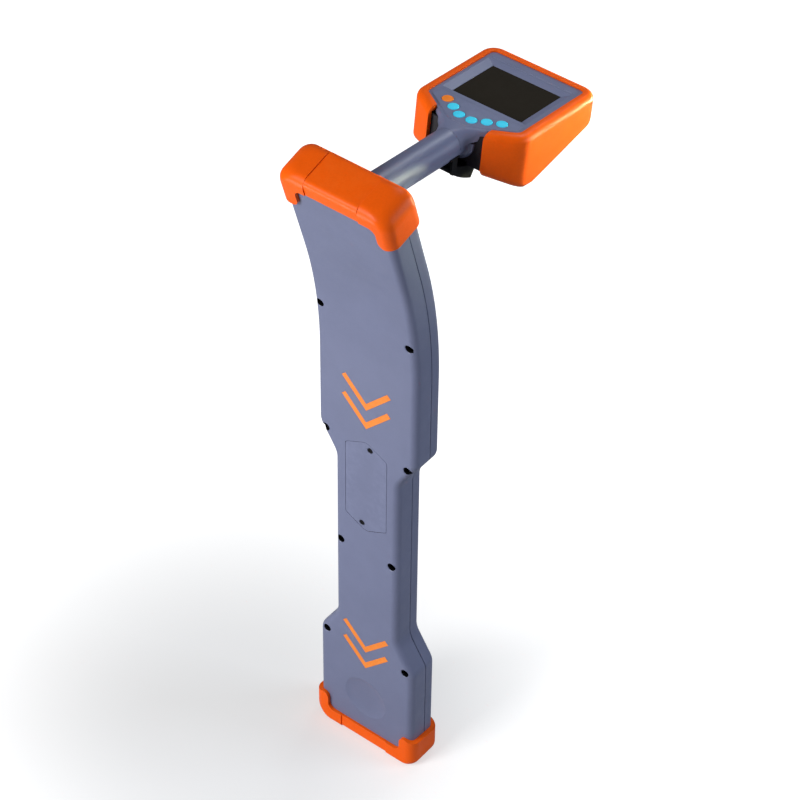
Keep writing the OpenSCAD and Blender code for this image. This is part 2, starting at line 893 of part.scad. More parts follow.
module socket_screws() {
    color([0.12, 0.12, 0.13])
        tube_axis()
            each_socket_screw()
                pan_screw(-socket_r, socket_r - tube_bore - 0.3);
}

loom_r = 2.2;
loom_bend = 10;             // radius of the bend into the blade
loom_y = socket_in + 3;     // where that bend starts
loom_drop = 60;             // length of the loom down the blade
// Ring round the loom where it has turned by t degrees, carried on by the distance on
function loom_ring(t, on) = [for (i = [0:15]) let (a = 22.5 * i - 78.75, r = loom_bend + loom_r * sin(a))
    [loom_r * cos(a), loom_y - r * sin(t) - on * cos(t), -loom_bend + r * cos(t) - on * sin(t)]];
module handle_loom() {
    turn = 90 + lean + head_tilt;
    color([0.1, 0.1, 0.1])
        tube_axis()
            loft(concat([loom_ring(0, loom_y - head_near - 9.9)], [for (t = sweep(0, turn, 8)) loom_ring(t, 0)],
                [loom_ring(turn, loom_drop)]));
}

module neck_screws() {
    color([0.8, 0.8, 0.82])
        tube_axis()
            each_neck_screw()
                translate([0, head_near + head_wall, 0])
                    mirror([0, 1, 0])
                        pan_screw(0, 8, 1.2, 2.2);
}

// Head

half_w = head_w / 2;
tan_near = tan(near_slope);
cos_near = cos(near_slope);
end_t = 5;                          // thickness of the bumper at its two ends
near_tip = head_near - end_t;
far_slope = (low_drop - far_drop) / (head_far - low_y);
near_fall = (low_drop - near_drop) / (low_y - near_tip);
// Underside of the head: two planes that meet in a softened line
function under(y) =
    let (a = -low_drop - (low_y - y) * -near_fall, b = -low_drop + (y - low_y) * far_slope)
    (a + b) / 2 + sqrt(pow((a - b) / 2, 2) + 2);

// Right half of the plan outline, inset all round; near is the y of the flat near end
function head_side(inset, near) =
    let (xb = half_w - near_r, yb = near_tip + (xb - bumper_gap) * tan_near + near_r / cos_near,
        rb = near_r - inset, xc = half_w - far_r, yc = head_far - far_r, rc = far_r - inset,
        xs = bumper_gap + (near - near_tip - inset / cos_near) / tan_near)
    concat(
        [[xs, near]],
        [for (a = sweep(near_slope - 90, 0, 5)) [xb + rb * cos(a), yb + rb * sin(a)]],
        [for (t = [0.15, 0.4, 0.7]) [half_w - inset, yb + (yc - yb) * t]],
        [for (a = sweep(0, 90, 5)) [xc + rc * cos(a), yc + rc * sin(a)]]
    );
// Row of the head's loft: the same outline at height z, or lifted off the underside
function head_row(inset, near, z) = [for (p = both(head_side(inset, near))) [p[0], p[1], z]];
function belly_row(inset, near, lift) =
    [for (p = both(head_side(inset, near))) [p[0], p[1], under(p[1]) + lift]];
function both(side) = concat(side, mirrored(side));

module head_form(inset, near, top, lift, r_top, r_low, steps = 4) {
    loft(concat(
        [for (a = sweep(0, 90, steps)) belly_row(inset + r_low * (1 - sin(a)), near,
            lift + r_low * (1 - cos(a)))],
        [for (a = sweep(90, 0, steps)) head_row(inset + r_top * (1 - sin(a)), near, top - r_top * (1 - cos(a)))]
    ));
}
module head_plate(inset, near, z0, z1) {
    translate([0, 0, z0])
        linear_extrude(z1 - z0)
            polygon(both(head_side(inset, near)));
}

rim_z = -panel_t - 2;       // top of the housing walls, under the panel flange
housing_in = bumper_t + fit;
lip_w = rim_w;              // width of the bumper lip under the head
lip_t = bumper_t;           // thickness of that lip
v_near = near_tip - 6;      // where the bumper blank ends, inside the neck gap

module head_bumper() {
    color(rubber_orange)
        head_frame()
            difference() {
                head_form(0, v_near, 0, 0, bumper_edge, bumper_edge);
                head_form(bumper_t, head_near, rim_z + 2 + fit, lip_t - fit, 0.01, 0.01, 1);
                head_plate(rim_w, head_near + 4, -panel_t - 1, 1);
                head_plate(lip_w, head_near + 6, -low_drop - 10, rim_z - 2);
                translate([-bumper_gap, v_near - 10, -low_drop - 5])
                    cube([2 * bumper_gap, head_near - v_near + 19, low_drop + 10]);
            }
}

// Screw columns of the head: near pair and far pair
column_x = half_w - lip_w - 5;
column_y = [screen_y - 9, screen_y + screen_len + 8];
column_r = 4.4;
split_z = -20;              // where the panel's columns meet the housing's
module each_column() {
    for (s = [-1, 1])
        for (y = column_y)
            translate([s * column_x, y, 0])
                children();
}
slot_end = pivot_y + 43;
module head_housing() {
    inner = housing_in + head_wall;
    color([0.1, 0.1, 0.12])
        head_frame()
            difference() {
                union() {
                    difference() {
                        head_form(housing_in, head_near, rim_z, lip_t, 0.01, 2, 2);
                        head_form(inner, head_near + head_wall, 5, lip_t + head_wall, 0.01, 0.01, 1);
                    }
                    intersection() {
                        each_column()
                            translate([0, 0, -low_drop - 5])
                                cylinder(r = column_r, h = low_drop + 5 + split_z);
                        head_form(housing_in + 0.5, head_near + 0.5, rim_z, lip_t + 0.5, 0.01, 0.01, 1);
                    }
                }
                translate([0, 0, -tube_drop])
                    along_y(neck_bore, head_near - 1, head_near + head_wall + 1);
                translate([0, 0, -tube_drop])
                    each_neck_screw()
                        along_y(1.3, head_near - 1, head_near + head_wall + 1);
                each_column() {
                    translate([0, 0, -low_drop - 5])
                        cylinder(r = 1.6, h = low_drop + 6 + split_z);
                    translate([0, 0, -low_drop - 5])
                        cylinder(r = 3, h = low_drop + 5 + split_z - 8);
                }
                translate([-trigger_half - 0.4, head_near - 3, -low_drop - 5])
                    cube([2 * trigger_half + 0.8, slot_end - head_near + 3, low_drop + 5 - slot_top]);
            }
}
slot_top = tube_drop + tube_r + pivot_drop + 0.3;

// Panel with its keys' holes, the bevelled screen recess and the saddle over the handle
window_fit = 0.2;
ledge_w = 2;
module head_panel() {
    color(shell_grey)
        head_frame()
            difference() {
                union() {
                    head_plate(rim_w + fit, head_near + 3.2, -panel_t, 0);
                    panel_skirt();
                    panel_fields();
                    each_column()
                        translate([0, 0, split_z])
                            cylinder(r = column_r, h = -panel_t - split_z + 0.8);
                }
                translate([-screen_half - window_fit, screen_y - window_fit, -window_deep])
                    cube([2 * (screen_half + window_fit), screen_len + 2 * window_fit, window_deep + 1]);
                translate([-screen_half + ledge_w, screen_y + ledge_w, -panel_t - 1])
                    cube([2 * (screen_half - ledge_w), screen_len - 2 * ledge_w, panel_t + 2]);
                bevel();
                each_key()
                    translate([0, 0, -panel_t - 3])
                        cylinder(r = key_r + play, h = panel_t + 5);
                each_column()
                    translate([0, 0, split_z - 1])
                        cylinder(r = 1.3, h = 12);
                translate([0, 0, -tube_drop])
                    along_y(tube_r + fit, 60, head_near);
            }
}
window_t = 1.2;
window_deep = bevel_depth + window_t + fit;
bevel_right = bevel_w - 2;
// Ring that rests on the housing's wall under the bumper's lip, and the saddle before it
module panel_skirt() {
    difference() {
        head_plate(housing_in, head_near, rim_z, -panel_t);
        key_room(0);
    }
    difference() {
        saddle();
        key_room(-panel_t);
    }
}
// Room for the flanges of the keys and the display under the panel
module key_room(top) {
    head_plate(rim_w + fit + 2, key_y - key_flange - play, rim_z - 1, top);
}
// Slightly raised fields: one round the keys, one bare strip beyond the screen
field_up = 0.4;
field_half = head_w / 2 - rim_w - 3.8;
field_near = head_near - 2;
strip_y = screen_y + screen_len + 8.6;
strip_w = 6.8;
module panel_fields() {
    translate([0, 0, -1])
        linear_extrude(1 + field_up) {
            polygon(both([[key_pitch / 2, field_near], [key_pitch, field_near + 3.2],
                [field_half, key_y + 12.5], [field_half, screen_y - 7]]));
            polygon(both([[field_half - 2, strip_y], [field_half, strip_y + 2],
                [field_half, strip_y + strip_w - 3], [field_half - 3, strip_y + strip_w]]));
        }
}
// Shallow sloped border that leads down to the screen, wider on the left
module bevel() {
    far = bevel_right;
    near = 1;
    x0 = screen_half + window_fit;
    y0 = screen_y - window_fit;
    y1 = screen_y + screen_len + window_fit;
    low = -bevel_depth;
    up = 0.01;
    hull() {
        translate([-x0, y0, low])
            cube([2 * x0, y1 - y0, 0.01]);
        translate([-x0 - bevel_w, y0 - near, up])
            cube([2 * x0 + bevel_w + bevel_right, y1 - y0 + near + far, 0.5]);
    }
}
saddle_y = head_near - 13;
module saddle() {
    intersection() {
        union() {
            saddle_part([[saddle_y, tube_r + 1.2], [head_near - 6, tube_r + 3.2]]);
            saddle_part([[head_near - 6, tube_r + 3.2], [head_near + 3.4, bumper_gap - 3.6]]);
        }
        union() {
            translate([-60, saddle_y - 1, -tube_drop + saddle_skirt])
                cube([120, head_near - fit - saddle_y + 1, tube_drop - saddle_skirt]);
            translate([-60, saddle_y - 1, rim_z])
                cube([120, 40, -rim_z]);
        }
    }
}
module saddle_part(ends) {
    hull() {
        for (e = ends)
            translate([0, e[0], 0]) {
                translate([-e[1] + 3, 0, -3])
                    along_y(3, 0, 0.5);
                translate([e[1] - 3, 0, -3])
                    along_y(3, 0, 0.5);
                translate([-e[1], 0, -tube_drop])
                    cube([2 * e[1], 0.5, 8]);
            }
    }
}

module screen_window() {
    color([0.16, 0.15, 0.13])
        head_frame()
            translate([-screen_half, screen_y, -window_deep])
                cube([2 * screen_half, screen_len, window_t]);
}

lcd_t = 4;
lcd_top = -panel_t - 0.2;
board_top = lcd_top - lcd_t;
head_board_t = 1.2;
lcd_rim = 3;
lcd_front = 0.6;            // depth of the hollow in front of the glass
lcd_back = 2.4;             // depth of the hollow at the back of the display
module lcd_pocket(z, deep) {
    translate([-screen_half + lcd_rim, screen_y + lcd_rim, z])
        cube([2 * (screen_half - lcd_rim), screen_len - 2 * lcd_rim, deep]);
}
module lcd_module() {
    color([0.35, 0.36, 0.34])
        head_frame()
            difference() {
                translate([-screen_half, screen_y, board_top])
                    cube([2 * screen_half, screen_len, lcd_t]);
                lcd_pocket(lcd_top - lcd_front, lcd_front + 1);
                lcd_pocket(board_top - 1, lcd_back + 1);
            }
}

module head_board() {
    color([0.1, 0.4, 0.2])
        head_frame()
            difference() {
                head_plate(housing_in + head_wall + 4, key_y - key_pitch / 2, board_top - head_board_t, board_top);
                each_column()
                    translate([0, 0, board_top - head_board_t - 1])
                        cylinder(r = column_r + 0.4, h = head_board_t + 2);
            }
}

module head_chips() {
    low = board_top - head_board_t;
    color([0.08, 0.08, 0.09])
        head_frame() {
            translate([-8, 160, low - 2])
                cube([16, 16, 2]);
            translate([-34, 150, low - 3])
                cube([12, 20, 3]);
            translate([20, 180, low - 4])
                cube([14, 10, 4]);
            translate([-6, head_near + 10, low - 6])
                cube([12, 8, 6]);
        }
}

module head_screws() {
    color([0.12, 0.12, 0.13])
        head_frame()
            each_column()
                translate([0, 0, split_z - 8])
                    rotate([90, 0, 0])
                        pan_screw(0, 16, 1.2, 2.6);
}

// Keys in a blunt V under the screen
function key_place(i) =
    let (k = i < 3 ? 2 - i : i - 3, side = i < 3 ? -1 : 1)
    [side * key_pitch * (0.5 + k * cos(key_fan)), key_y + k * key_pitch * sin(key_fan)];
module each_key() {
    for (i = [0:5])
        translate([key_place(i)[0], key_place(i)[1], 0])
            children();
}
key_flange = key_r + 0.8;
key_flange_t = 0.7;
key_stand = 0.6;            // how far the keys stand over the field round them
key_back = -panel_t - play - key_flange_t;
stem_r = 2;
key_low = board_top + 1.2 + play + key_travel;
module key_cap(i, tint) {
    color(tint)
        head_frame()
            translate([key_place(i)[0], key_place(i)[1], 0]) {
                translate([0, 0, key_back])
                    cylinder(r = key_r, h = field_up + key_stand - key_back);
                translate([0, 0, key_back])
                    cylinder(r = key_flange, h = key_flange_t);
                translate([0, 0, key_low])
                    cylinder(r = stem_r, h = key_back - key_low);
            }
}
module power_key() {
    key_cap(0, [0.96, 0.5, 0.1]);
}
module key_a() {
    key_cap(1, [0.3, 0.8, 0.95]);
}
module key_b() {
    key_cap(2, [0.3, 0.8, 0.95]);
}
module key_c() {
    key_cap(3, [0.3, 0.8, 0.95]);
}
module key_d() {
    key_cap(4, [0.3, 0.8, 0.95]);
}
module key_e() {
    key_cap(5, [0.3, 0.8, 0.95]);
}

module key_mat() {
    color([0.85, 0.85, 0.83])
        head_frame()
            each_key() {
                translate([0, 0, board_top])
                    cylinder(r = key_pitch / 2 - 0.5, h = 0.6);
                translate([0, 0, board_top + 0.6])
                    cylinder(r = 3, h = 0.6);
            }
}

module beeper() {
    low = board_top - head_board_t;
    color([0.06, 0.06, 0.06])
        head_frame()
            translate([26, 150, low - 5])
                difference() {
                    cylinder(r = 6, h = 5);
                    translate([0, 0, -1])
                        cylinder(r = 1, h = 3);
                }
}

// Trigger

pivot_z = -tube_drop - tube_r - pivot_drop;
eye_r = 3;
pin_r = 1.5;
ear_t = 2;
lever_reach = 35;
lever_deep = 20.2;
lever_slot = 21;            // where the lever's back enters the slot of the housing
lever_top = -lever_reach * sin(squeeze) - 0.9;  // back of the lever at its far end, clear of the slot when squeezed
module pivot() {
    head_frame()
        translate([0, pivot_y, pivot_z])
            children();
}
// Side outline of the lever, from the pivot: a convex finger face and a square far face
function finger_face(n) =
    let (a = [-1, -eye_r], b = [lever_reach - 5.6, -lever_deep], bow = 1.6)
    [for (i = [0:n]) let (t = i / n) [a[0] + (b[0] - a[0]) * t,
        a[1] + (b[1] - a[1]) * t - bow * 4 * t * (1 - t)]];
lever_points = concat(
    [[0, eye_r - 0.1], [lever_slot, -lever_slot * sin(squeeze) - 1.6], [lever_reach - 1, lever_top],
        [lever_reach, lever_top - 1.2], [lever_reach - 0.5, lever_top - 5.2]],
    reversed(finger_face(6))
);
module trigger() {
    color([0.06, 0.06, 0.06])
        pivot()
            difference() {
                union() {
                    across_x(eye_r, -trigger_half, trigger_half);
                    rotate([90, 0, 90])
                        translate([0, 0, -trigger_half])
                            linear_extrude(2 * trigger_half)
                                polygon(lever_points);
                }
                across_x(pin_r + 0.05, -30, 30);
                spring_room();
            }
}
// Room for the spring beside the eye
spring_w = 5;
module spring_room() {
    translate([-spring_w / 2, -5, -5])
        cube([spring_w, 10.5, 12]);
}

module trigger_bracket() {
    ear = trigger_half + 0.4;
    high = -tube_drop - 5 - pivot_z;
    color([0.07, 0.07, 0.08])
        head_frame()
            difference() {
                union() {
                    intersection() {
                        translate([0, pivot_y, -tube_drop])
                            along_y(tube_r + 1.2, -6, 6);
                        translate([-ear - ear_t, pivot_y - 6, pivot_z])
                            cube([2 * (ear + ear_t), 12, high]);
                    }
                    for (s = [-1, 1])
                        translate([s > 0 ? ear : -ear - ear_t, pivot_y, pivot_z]) {
                            across_x(eye_r + 0.5, 0, ear_t);
                            translate([0, -eye_r - 0.5, 0])
                                cube([ear_t, 2 * eye_r + 1, high]);
                        }
                }
                translate([0, pivot_y, -tube_drop])
                    along_y(tube_r + 0.05, -10, 10);
                translate([0, pivot_y, pivot_z])
                    across_x(pin_r + 0.02, -30, 30);
                translate([0, 0, -tube_drop])
                    each_bracket_rivet() {
                        cylinder(r = 1.1, h = 10, center = true);
                        translate([0, 0, rivet_seat - 4])
                            cylinder(r = rivet_head + fit, h = 4);
                    }
            }
}
rivet_x = 5;
rivet_head = 1.8;
rivet_seat = -0.3;          // underside of the rivet heads, from the lowest line of the tube
module each_bracket_rivet() {
    for (s = [-1, 1])
        translate([s * rivet_x, pivot_y + s * 3.6, -tube_r])
            children();
}
module bracket_rivets() {
    color([0.5, 0.5, 0.52])
        head_frame()
            translate([0, 0, -tube_drop])
                each_bracket_rivet() {
                    translate([0, 0, rivet_seat - 1])
                        cylinder(r = rivet_head, h = 1);
                    translate([0, 0, rivet_seat])
                        cylinder(r = 1, h = 3.4);
                }
}

module trigger_pin() {
    color([0.75, 0.75, 0.78])
        pivot()
            across_x(pin_r, -trigger_half - 0.4 - ear_t, trigger_half + 0.4 + ear_t);
}

// Torsion spring: a coil round the pin, one leg up to the bracket and one along the lever
module trigger_spring() {
    leg_r = 0.4;
    color([0.75, 0.75, 0.78])
        pivot()
            difference() {
                union() {
                    across_x(pin_r + 1, -spring_w / 2 + 0.4, spring_w / 2 - 0.4);
                    translate([-spring_w / 2 + 0.9, 0, pin_r + 0.4])
                        rotate([-90, 0, 0])
                            cylinder(r = leg_r, h = 4.4, $fn = 16);
                    translate([spring_w / 2 - 0.9, -pin_r - 0.4, 0])
                        cylinder(r = leg_r, h = 3.4, $fn = 16);
                }
                across_x(pin_r + 0.2, -10, 10);
            }
}

module trigger_switch() {
    body_y = head_near + head_wall + fit;
    low = -slot_top + 4;
    color([0.12, 0.12, 0.13])
        head_frame() {
            translate([-5, body_y, low])
                cube([10, 14, 8]);
            translate([0, pivot_y + 30.5, -slot_top - 0.4])
                cylinder(r = 1.2, h = 5);
        }
}

front_shell();
back_shell();
seam_gasket();
case_screws();
battery_cover();
cover_screws();
battery_tray();
battery_cells();
battery_contacts();
upper_chevrons();
lower_chevrons();
lower_boot();
upper_boot();
lower_rod();
lower_winding();
lower_clips();
upper_rod();
upper_winding();
upper_clips();
upright_rod();
upright_winding();
upright_clips();
main_board();
main_chips();
board_screws();
ribbon_cable();
handle_tube();
socket_screws();
handle_loom();
neck_screws();
head_housing();
head_panel();
head_bumper();
screen_window();
lcd_module();
head_board();
head_chips();
head_screws();
key_mat();
beeper();
power_key();
key_a();
key_b();
key_c();
key_d();
key_e();
trigger();
trigger_bracket();
bracket_rivets();
trigger_pin();
trigger_spring();
trigger_switch();
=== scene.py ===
"""Looks of a hand-held cable locator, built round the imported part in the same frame."""

from __future__ import annotations

import json
import logging
import math
from collections.abc import Callable, Iterable, Sequence
from dataclasses import dataclass, field
from enum import Enum

import bmesh
import bpy
from mathutils import Matrix, Vector

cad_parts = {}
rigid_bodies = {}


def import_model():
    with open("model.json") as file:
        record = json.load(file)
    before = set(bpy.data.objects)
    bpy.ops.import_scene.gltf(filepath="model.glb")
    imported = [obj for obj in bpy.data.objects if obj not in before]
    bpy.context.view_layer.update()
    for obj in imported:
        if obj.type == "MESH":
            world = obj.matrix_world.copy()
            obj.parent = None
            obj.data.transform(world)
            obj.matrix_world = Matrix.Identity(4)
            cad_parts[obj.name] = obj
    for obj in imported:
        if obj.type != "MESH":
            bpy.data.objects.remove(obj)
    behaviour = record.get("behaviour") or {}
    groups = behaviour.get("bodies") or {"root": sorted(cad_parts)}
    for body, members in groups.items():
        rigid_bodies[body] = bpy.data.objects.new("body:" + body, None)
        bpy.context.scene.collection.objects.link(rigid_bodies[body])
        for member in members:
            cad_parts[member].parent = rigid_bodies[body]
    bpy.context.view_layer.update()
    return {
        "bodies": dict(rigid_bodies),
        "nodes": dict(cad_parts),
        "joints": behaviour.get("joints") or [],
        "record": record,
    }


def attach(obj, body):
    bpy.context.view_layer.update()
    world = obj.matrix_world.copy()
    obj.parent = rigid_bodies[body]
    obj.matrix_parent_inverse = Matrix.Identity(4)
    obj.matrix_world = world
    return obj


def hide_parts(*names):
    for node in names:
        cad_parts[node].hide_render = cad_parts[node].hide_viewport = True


MM = 0.001
ROUND = 96  # steps round the tube and what fits it
FINE = 12  # steps of a quarter turn in the large outlines
OVER = 1.0  # how far a cutter reaches past the face that it opens, in millimetres
NOISE = (0.3, 0.7)  # where most values of a noise texture lie
LOG = logging.getLogger("locator")
Point = tuple[float, float]
Tree = bpy.types.NodeTree
Socket = bpy.types.NodeSocket


class Side(Enum):
    """The two halves of the blade."""

    FRONT = -1
    BACK = 1


class Light(Enum):
    """The lamps of the studio."""

    KEY = "key"
    FILL = "fill"
    BUMPER = "bumper"
    RIM = "rim"
    SHEEN = "sheen"
    BACK = "back"


# Mesh tools


def new_object(name: str, mesh: bpy.types.Mesh) -> bpy.types.Object:
    """Link a mesh to the scene.

    Args:
        name: Name of the object.
        mesh: Its mesh.

    Returns:
        The object, at the origin.
    """
    obj = bpy.data.objects.new(name, mesh)
    bpy.context.scene.collection.objects.link(obj)
    return obj


def from_bmesh(name: str, bm: bmesh.types.BMesh) -> bpy.types.Object:
    """Turn a bmesh into an object and free it.

    Args:
        name: Name of the object and its mesh.
        bm: The geometry, in metres.

    Returns:
        The new object.
    """
    bmesh.ops.recalc_face_normals(bm, faces=bm.faces)
    mesh = bpy.data.meshes.new(name)
    bm.to_mesh(mesh)
    bm.free()
    return new_object(name, mesh)


def loft(name: str, rows: Sequence[Sequence[Vector]]) -> bpy.types.Object:
    """Join rows of points into a closed form with strips as end faces.

    Args:
        name: Name of the object.
        rows: Rows of equal length in millimetres. Point i is the mirror image of
            the point as far from the row's other end.

    Returns:
        The lofted object.
    """
    bm = bmesh.new()
    count = len(rows[0])
    rings = [[bm.verts.new(p * MM) for p in row] for row in rows]
    for low, high in zip(rings, rings[1:]):
        for i in range(count):
            j = (i + 1) % count
            bm.faces.new((low[i], low[j], high[j], high[i]))
    for ring in (rings[0], rings[-1]):
        for i in range(count // 2 - 1):
            bm.faces.new((ring[i], ring[i + 1], ring[count - 2 - i], ring[count - 1 - i]))
    return from_bmesh(name, bm)


def prism(name: str, outline: Sequence[Point], z0: float, z1: float, move: Matrix) -> bpy.types.Object:
    """Extrude a flat outline.

    Args:
        name: Name of the object.
        outline: Corners in millimetres, in the local XY plane.
        z0: Lower end in millimetres.
        z1: Upper end in millimetres.
        move: Placement, in metres.

    Returns:
        The prism.
    """
    bm = bmesh.new()
    low = [bm.verts.new(move @ Vector((x * MM, y * MM, z0 * MM))) for x, y in outline]
    high = [bm.verts.new(move @ Vector((x * MM, y * MM, z1 * MM))) for x, y in outline]
    bm.faces.new(low)
    bm.faces.new(high)
    for i in range(len(low)):
        j = (i + 1) % len(low)
        bm.faces.new((low[i], low[j], high[j], high[i]))
    return from_bmesh(name, bm)


def lathe(name: str, profile: Sequence[Point], move: Matrix, steps: int = 64) -> bpy.types.Object:
    """Turn a profile round the local Z axis.

    Args:
        name: Name of the object.
        profile: Radius and height pairs in millimetres, from end to end.
        move: Placement, in metres.
        steps: Segments round the axis.

    Returns:
        The turned form, closed at both ends.
    """
    bm = bmesh.new()
    rings = []
    for radius, height in profile:
        turns = [2 * math.pi * i / steps for i in range(steps)] if radius > 0 else [0.0]
        ring = [(radius * MM * math.cos(a), radius * MM * math.sin(a), height * MM) for a in turns]
        rings.append([bm.verts.new(move @ Vector(spot)) for spot in ring])
    for low, high in zip(rings, rings[1:]):
        for i in range(steps):
            j = (i + 1) % steps
            if len(low) == 1:
                bm.faces.new((low[0], high[j], high[i]))
            elif len(high) == 1:
                bm.faces.new((low[i], low[j], high[0]))
            else:
                bm.faces.new((low[i], low[j], high[j], high[i]))
    for ring in (rings[0], rings[-1]):
        if len(ring) > 1:
            bm.faces.new(ring)
    return from_bmesh(name, bm)


def block(name: str, low: Vector, high: Vector, move: Matrix) -> bpy.types.Object:
    """Make a box between two corners."""
    outline = [(low.x, low.y), (high.x, low.y), (high.x, high.y), (low.x, high.y)]
    return prism(name, outline, low.z, high.z, move)


def bake(obj: bpy.types.Object) -> bpy.types.Object:
    """Turn an object's modifiers into its mesh.

    Args:
        obj: The object.

    Returns:
        The same object with a new mesh.
    """
    graph = bpy.context.evaluated_depsgraph_get()
    mesh = bpy.data.meshes.new_from_object(obj.evaluated_get(graph))
    old = obj.data
    obj.modifiers.clear()
    obj.data = mesh
    mesh.name = obj.name
    bpy.data.meshes.remove(old)
    return obj


def discard(obj: bpy.types.Object) -> None:
    """Delete an object together with its mesh.

    Args:
        obj: The object.
    """
    used = obj.data
    bpy.data.objects.remove(obj)
    bpy.data.meshes.remove(used)


def combine(target: bpy.types.Object, tools: Iterable[bpy.types.Object], how: str) -> bpy.types.Object:
    """Cut, join or intersect with other forms, which are used up.

    Args:
        target: The object to change.
        tools: The other forms.
        how: DIFFERENCE, UNION or INTERSECT.

    Returns:
        The changed target.
    """
    for tool in tools:
        step = target.modifiers.new("step", "BOOLEAN")
        step.operation = how
        step.solver = "EXACT"
        step.object = tool
        bake(target)
        discard(tool)
    return target


def merge(parts: Sequence[bpy.types.Object]) -> bpy.types.Object:
    """Put several closed forms into the first one's mesh.

    Args:
        parts: The forms. All but the first are used up.

    Returns:
        The first object.
    """
    bm = bmesh.new()
    for part in parts:
        bm.from_mesh(part.data)
    bm.to_mesh(parts[0].data)
    bm.free()
    for part in parts[1:]:
        discard(part)
    return parts[0]


def soften(obj: bpy.types.Object, angle: float = 30.0) -> bpy.types.Object:
    """Shade smooth, but keep edges sharper than the angle.

    Args:
        obj: The object.
        angle: Smallest angle of a sharp edge, in degrees.

    Returns:
        The same object.
    """
    bm = bmesh.new()
    bm.from_mesh(obj.data)
    bmesh.ops.remove_doubles(bm, verts=bm.verts, dist=1e-6)
    limit = math.radians(angle)
    for face in bm.faces:
        face.smooth = True
    for edge in bm.edges:
        edge.smooth = len(edge.link_faces) == 2 and edge.calc_face_angle(0.0) < limit
    bm.to_mesh(obj.data)
    bm.free()
    return obj


def round_edges(obj: bpy.types.Object, width: float, segments: int, angle: float = 40.0) -> bpy.types.Object:
    """Round the sharp edges of a form.

    Args:
        obj: The object.
        width: Width of the rounding in millimetres.
        segments: Steps of the rounding.
        angle: Smallest angle of an edge that is rounded, in degrees.

    Returns:
        The same object with a new mesh.
    """
    step = obj.modifiers.new("round", "BEVEL")
    step.width = width * MM
    step.segments = segments
    step.limit_method = "ANGLE"
    step.angle_limit = math.radians(angle)
    step.use_clamp_overlap = True
    return bake(obj)


def sweep(a: float, b: float, steps: int) -> list[float]:
    """Even steps from a to b, both included."""
    return [a + (b - a) * i / steps for i in range(steps + 1)]


def cosd(a: float) -> float:
    """Cosine of an angle in degrees."""
    return math.cos(math.radians(a))


def sind(a: float) -> float:
    """Sine of an angle in degrees."""
    return math.sin(math.radians(a))


def arc(x: float, y: float, r: float, start: float, end: float, steps: int) -> list[Point]:
    """Points on an arc about one place, from one angle in degrees to another."""
    return [(x + r * cosd(a), y + r * sind(a)) for a in sweep(start, end, steps)]


def mirrored(side: Sequence[Point]) -> list[Point]:
    """Add the mirror image of a right-hand side, so that ends pair up."""
    return list(side) + [(-x, y) for x, y in reversed(side)]


# Finishes


def add_noise(tree: Tree, place: Socket, scale: float, detail: float) -> Socket:
    """Add a noise texture.

    Args:
        tree: The node tree.
        place: Texture coordinates.
        scale: Scale per metre.
        detail: Octaves.

    Returns:
        The factor socket.
    """
    node = tree.nodes.new("ShaderNodeTexNoise")
    node.inputs["Scale"].default_value = scale
    node.inputs["Detail"].default_value = detail
    node.inputs["Roughness"].default_value = 0.6
    tree.links.new(place, node.inputs["Vector"])
    return node.outputs["Fac"]


def remap(tree: Tree, value: Socket, span: Point, to: Point, way: str = "LINEAR") -> Socket:
    """Map a value from one range to another.

    Args:
        tree: The node tree.
        value: Socket with the value.
        span: Range it comes from.
        to: Range it goes to.
        way: LINEAR, or SMOOTHSTEP for soft ends.

    Returns:
        The result socket.
    """
    node = tree.nodes.new("ShaderNodeMapRange")
    node.interpolation_type = way
    node.inputs["From Min"].default_value = span[0]
    node.inputs["From Max"].default_value = span[1]
    node.inputs["To Min"].default_value = to[0]
    node.inputs["To Max"].default_value = to[1]
    tree.links.new(value, node.inputs["Value"])
    return node.outputs["Result"]


def multiply(tree: Tree, first: Socket, second: Socket) -> Socket:
    """Multiply two values.

    Args:
        tree: The node tree.
        first: One value.
        second: The other value.

    Returns:
        The result socket.
    """
    node = tree.nodes.new("ShaderNodeMath")
    node.operation = "MULTIPLY"
    tree.links.new(first, node.inputs[0])
    tree.links.new(second, node.inputs[1])
    return node.outputs[0]


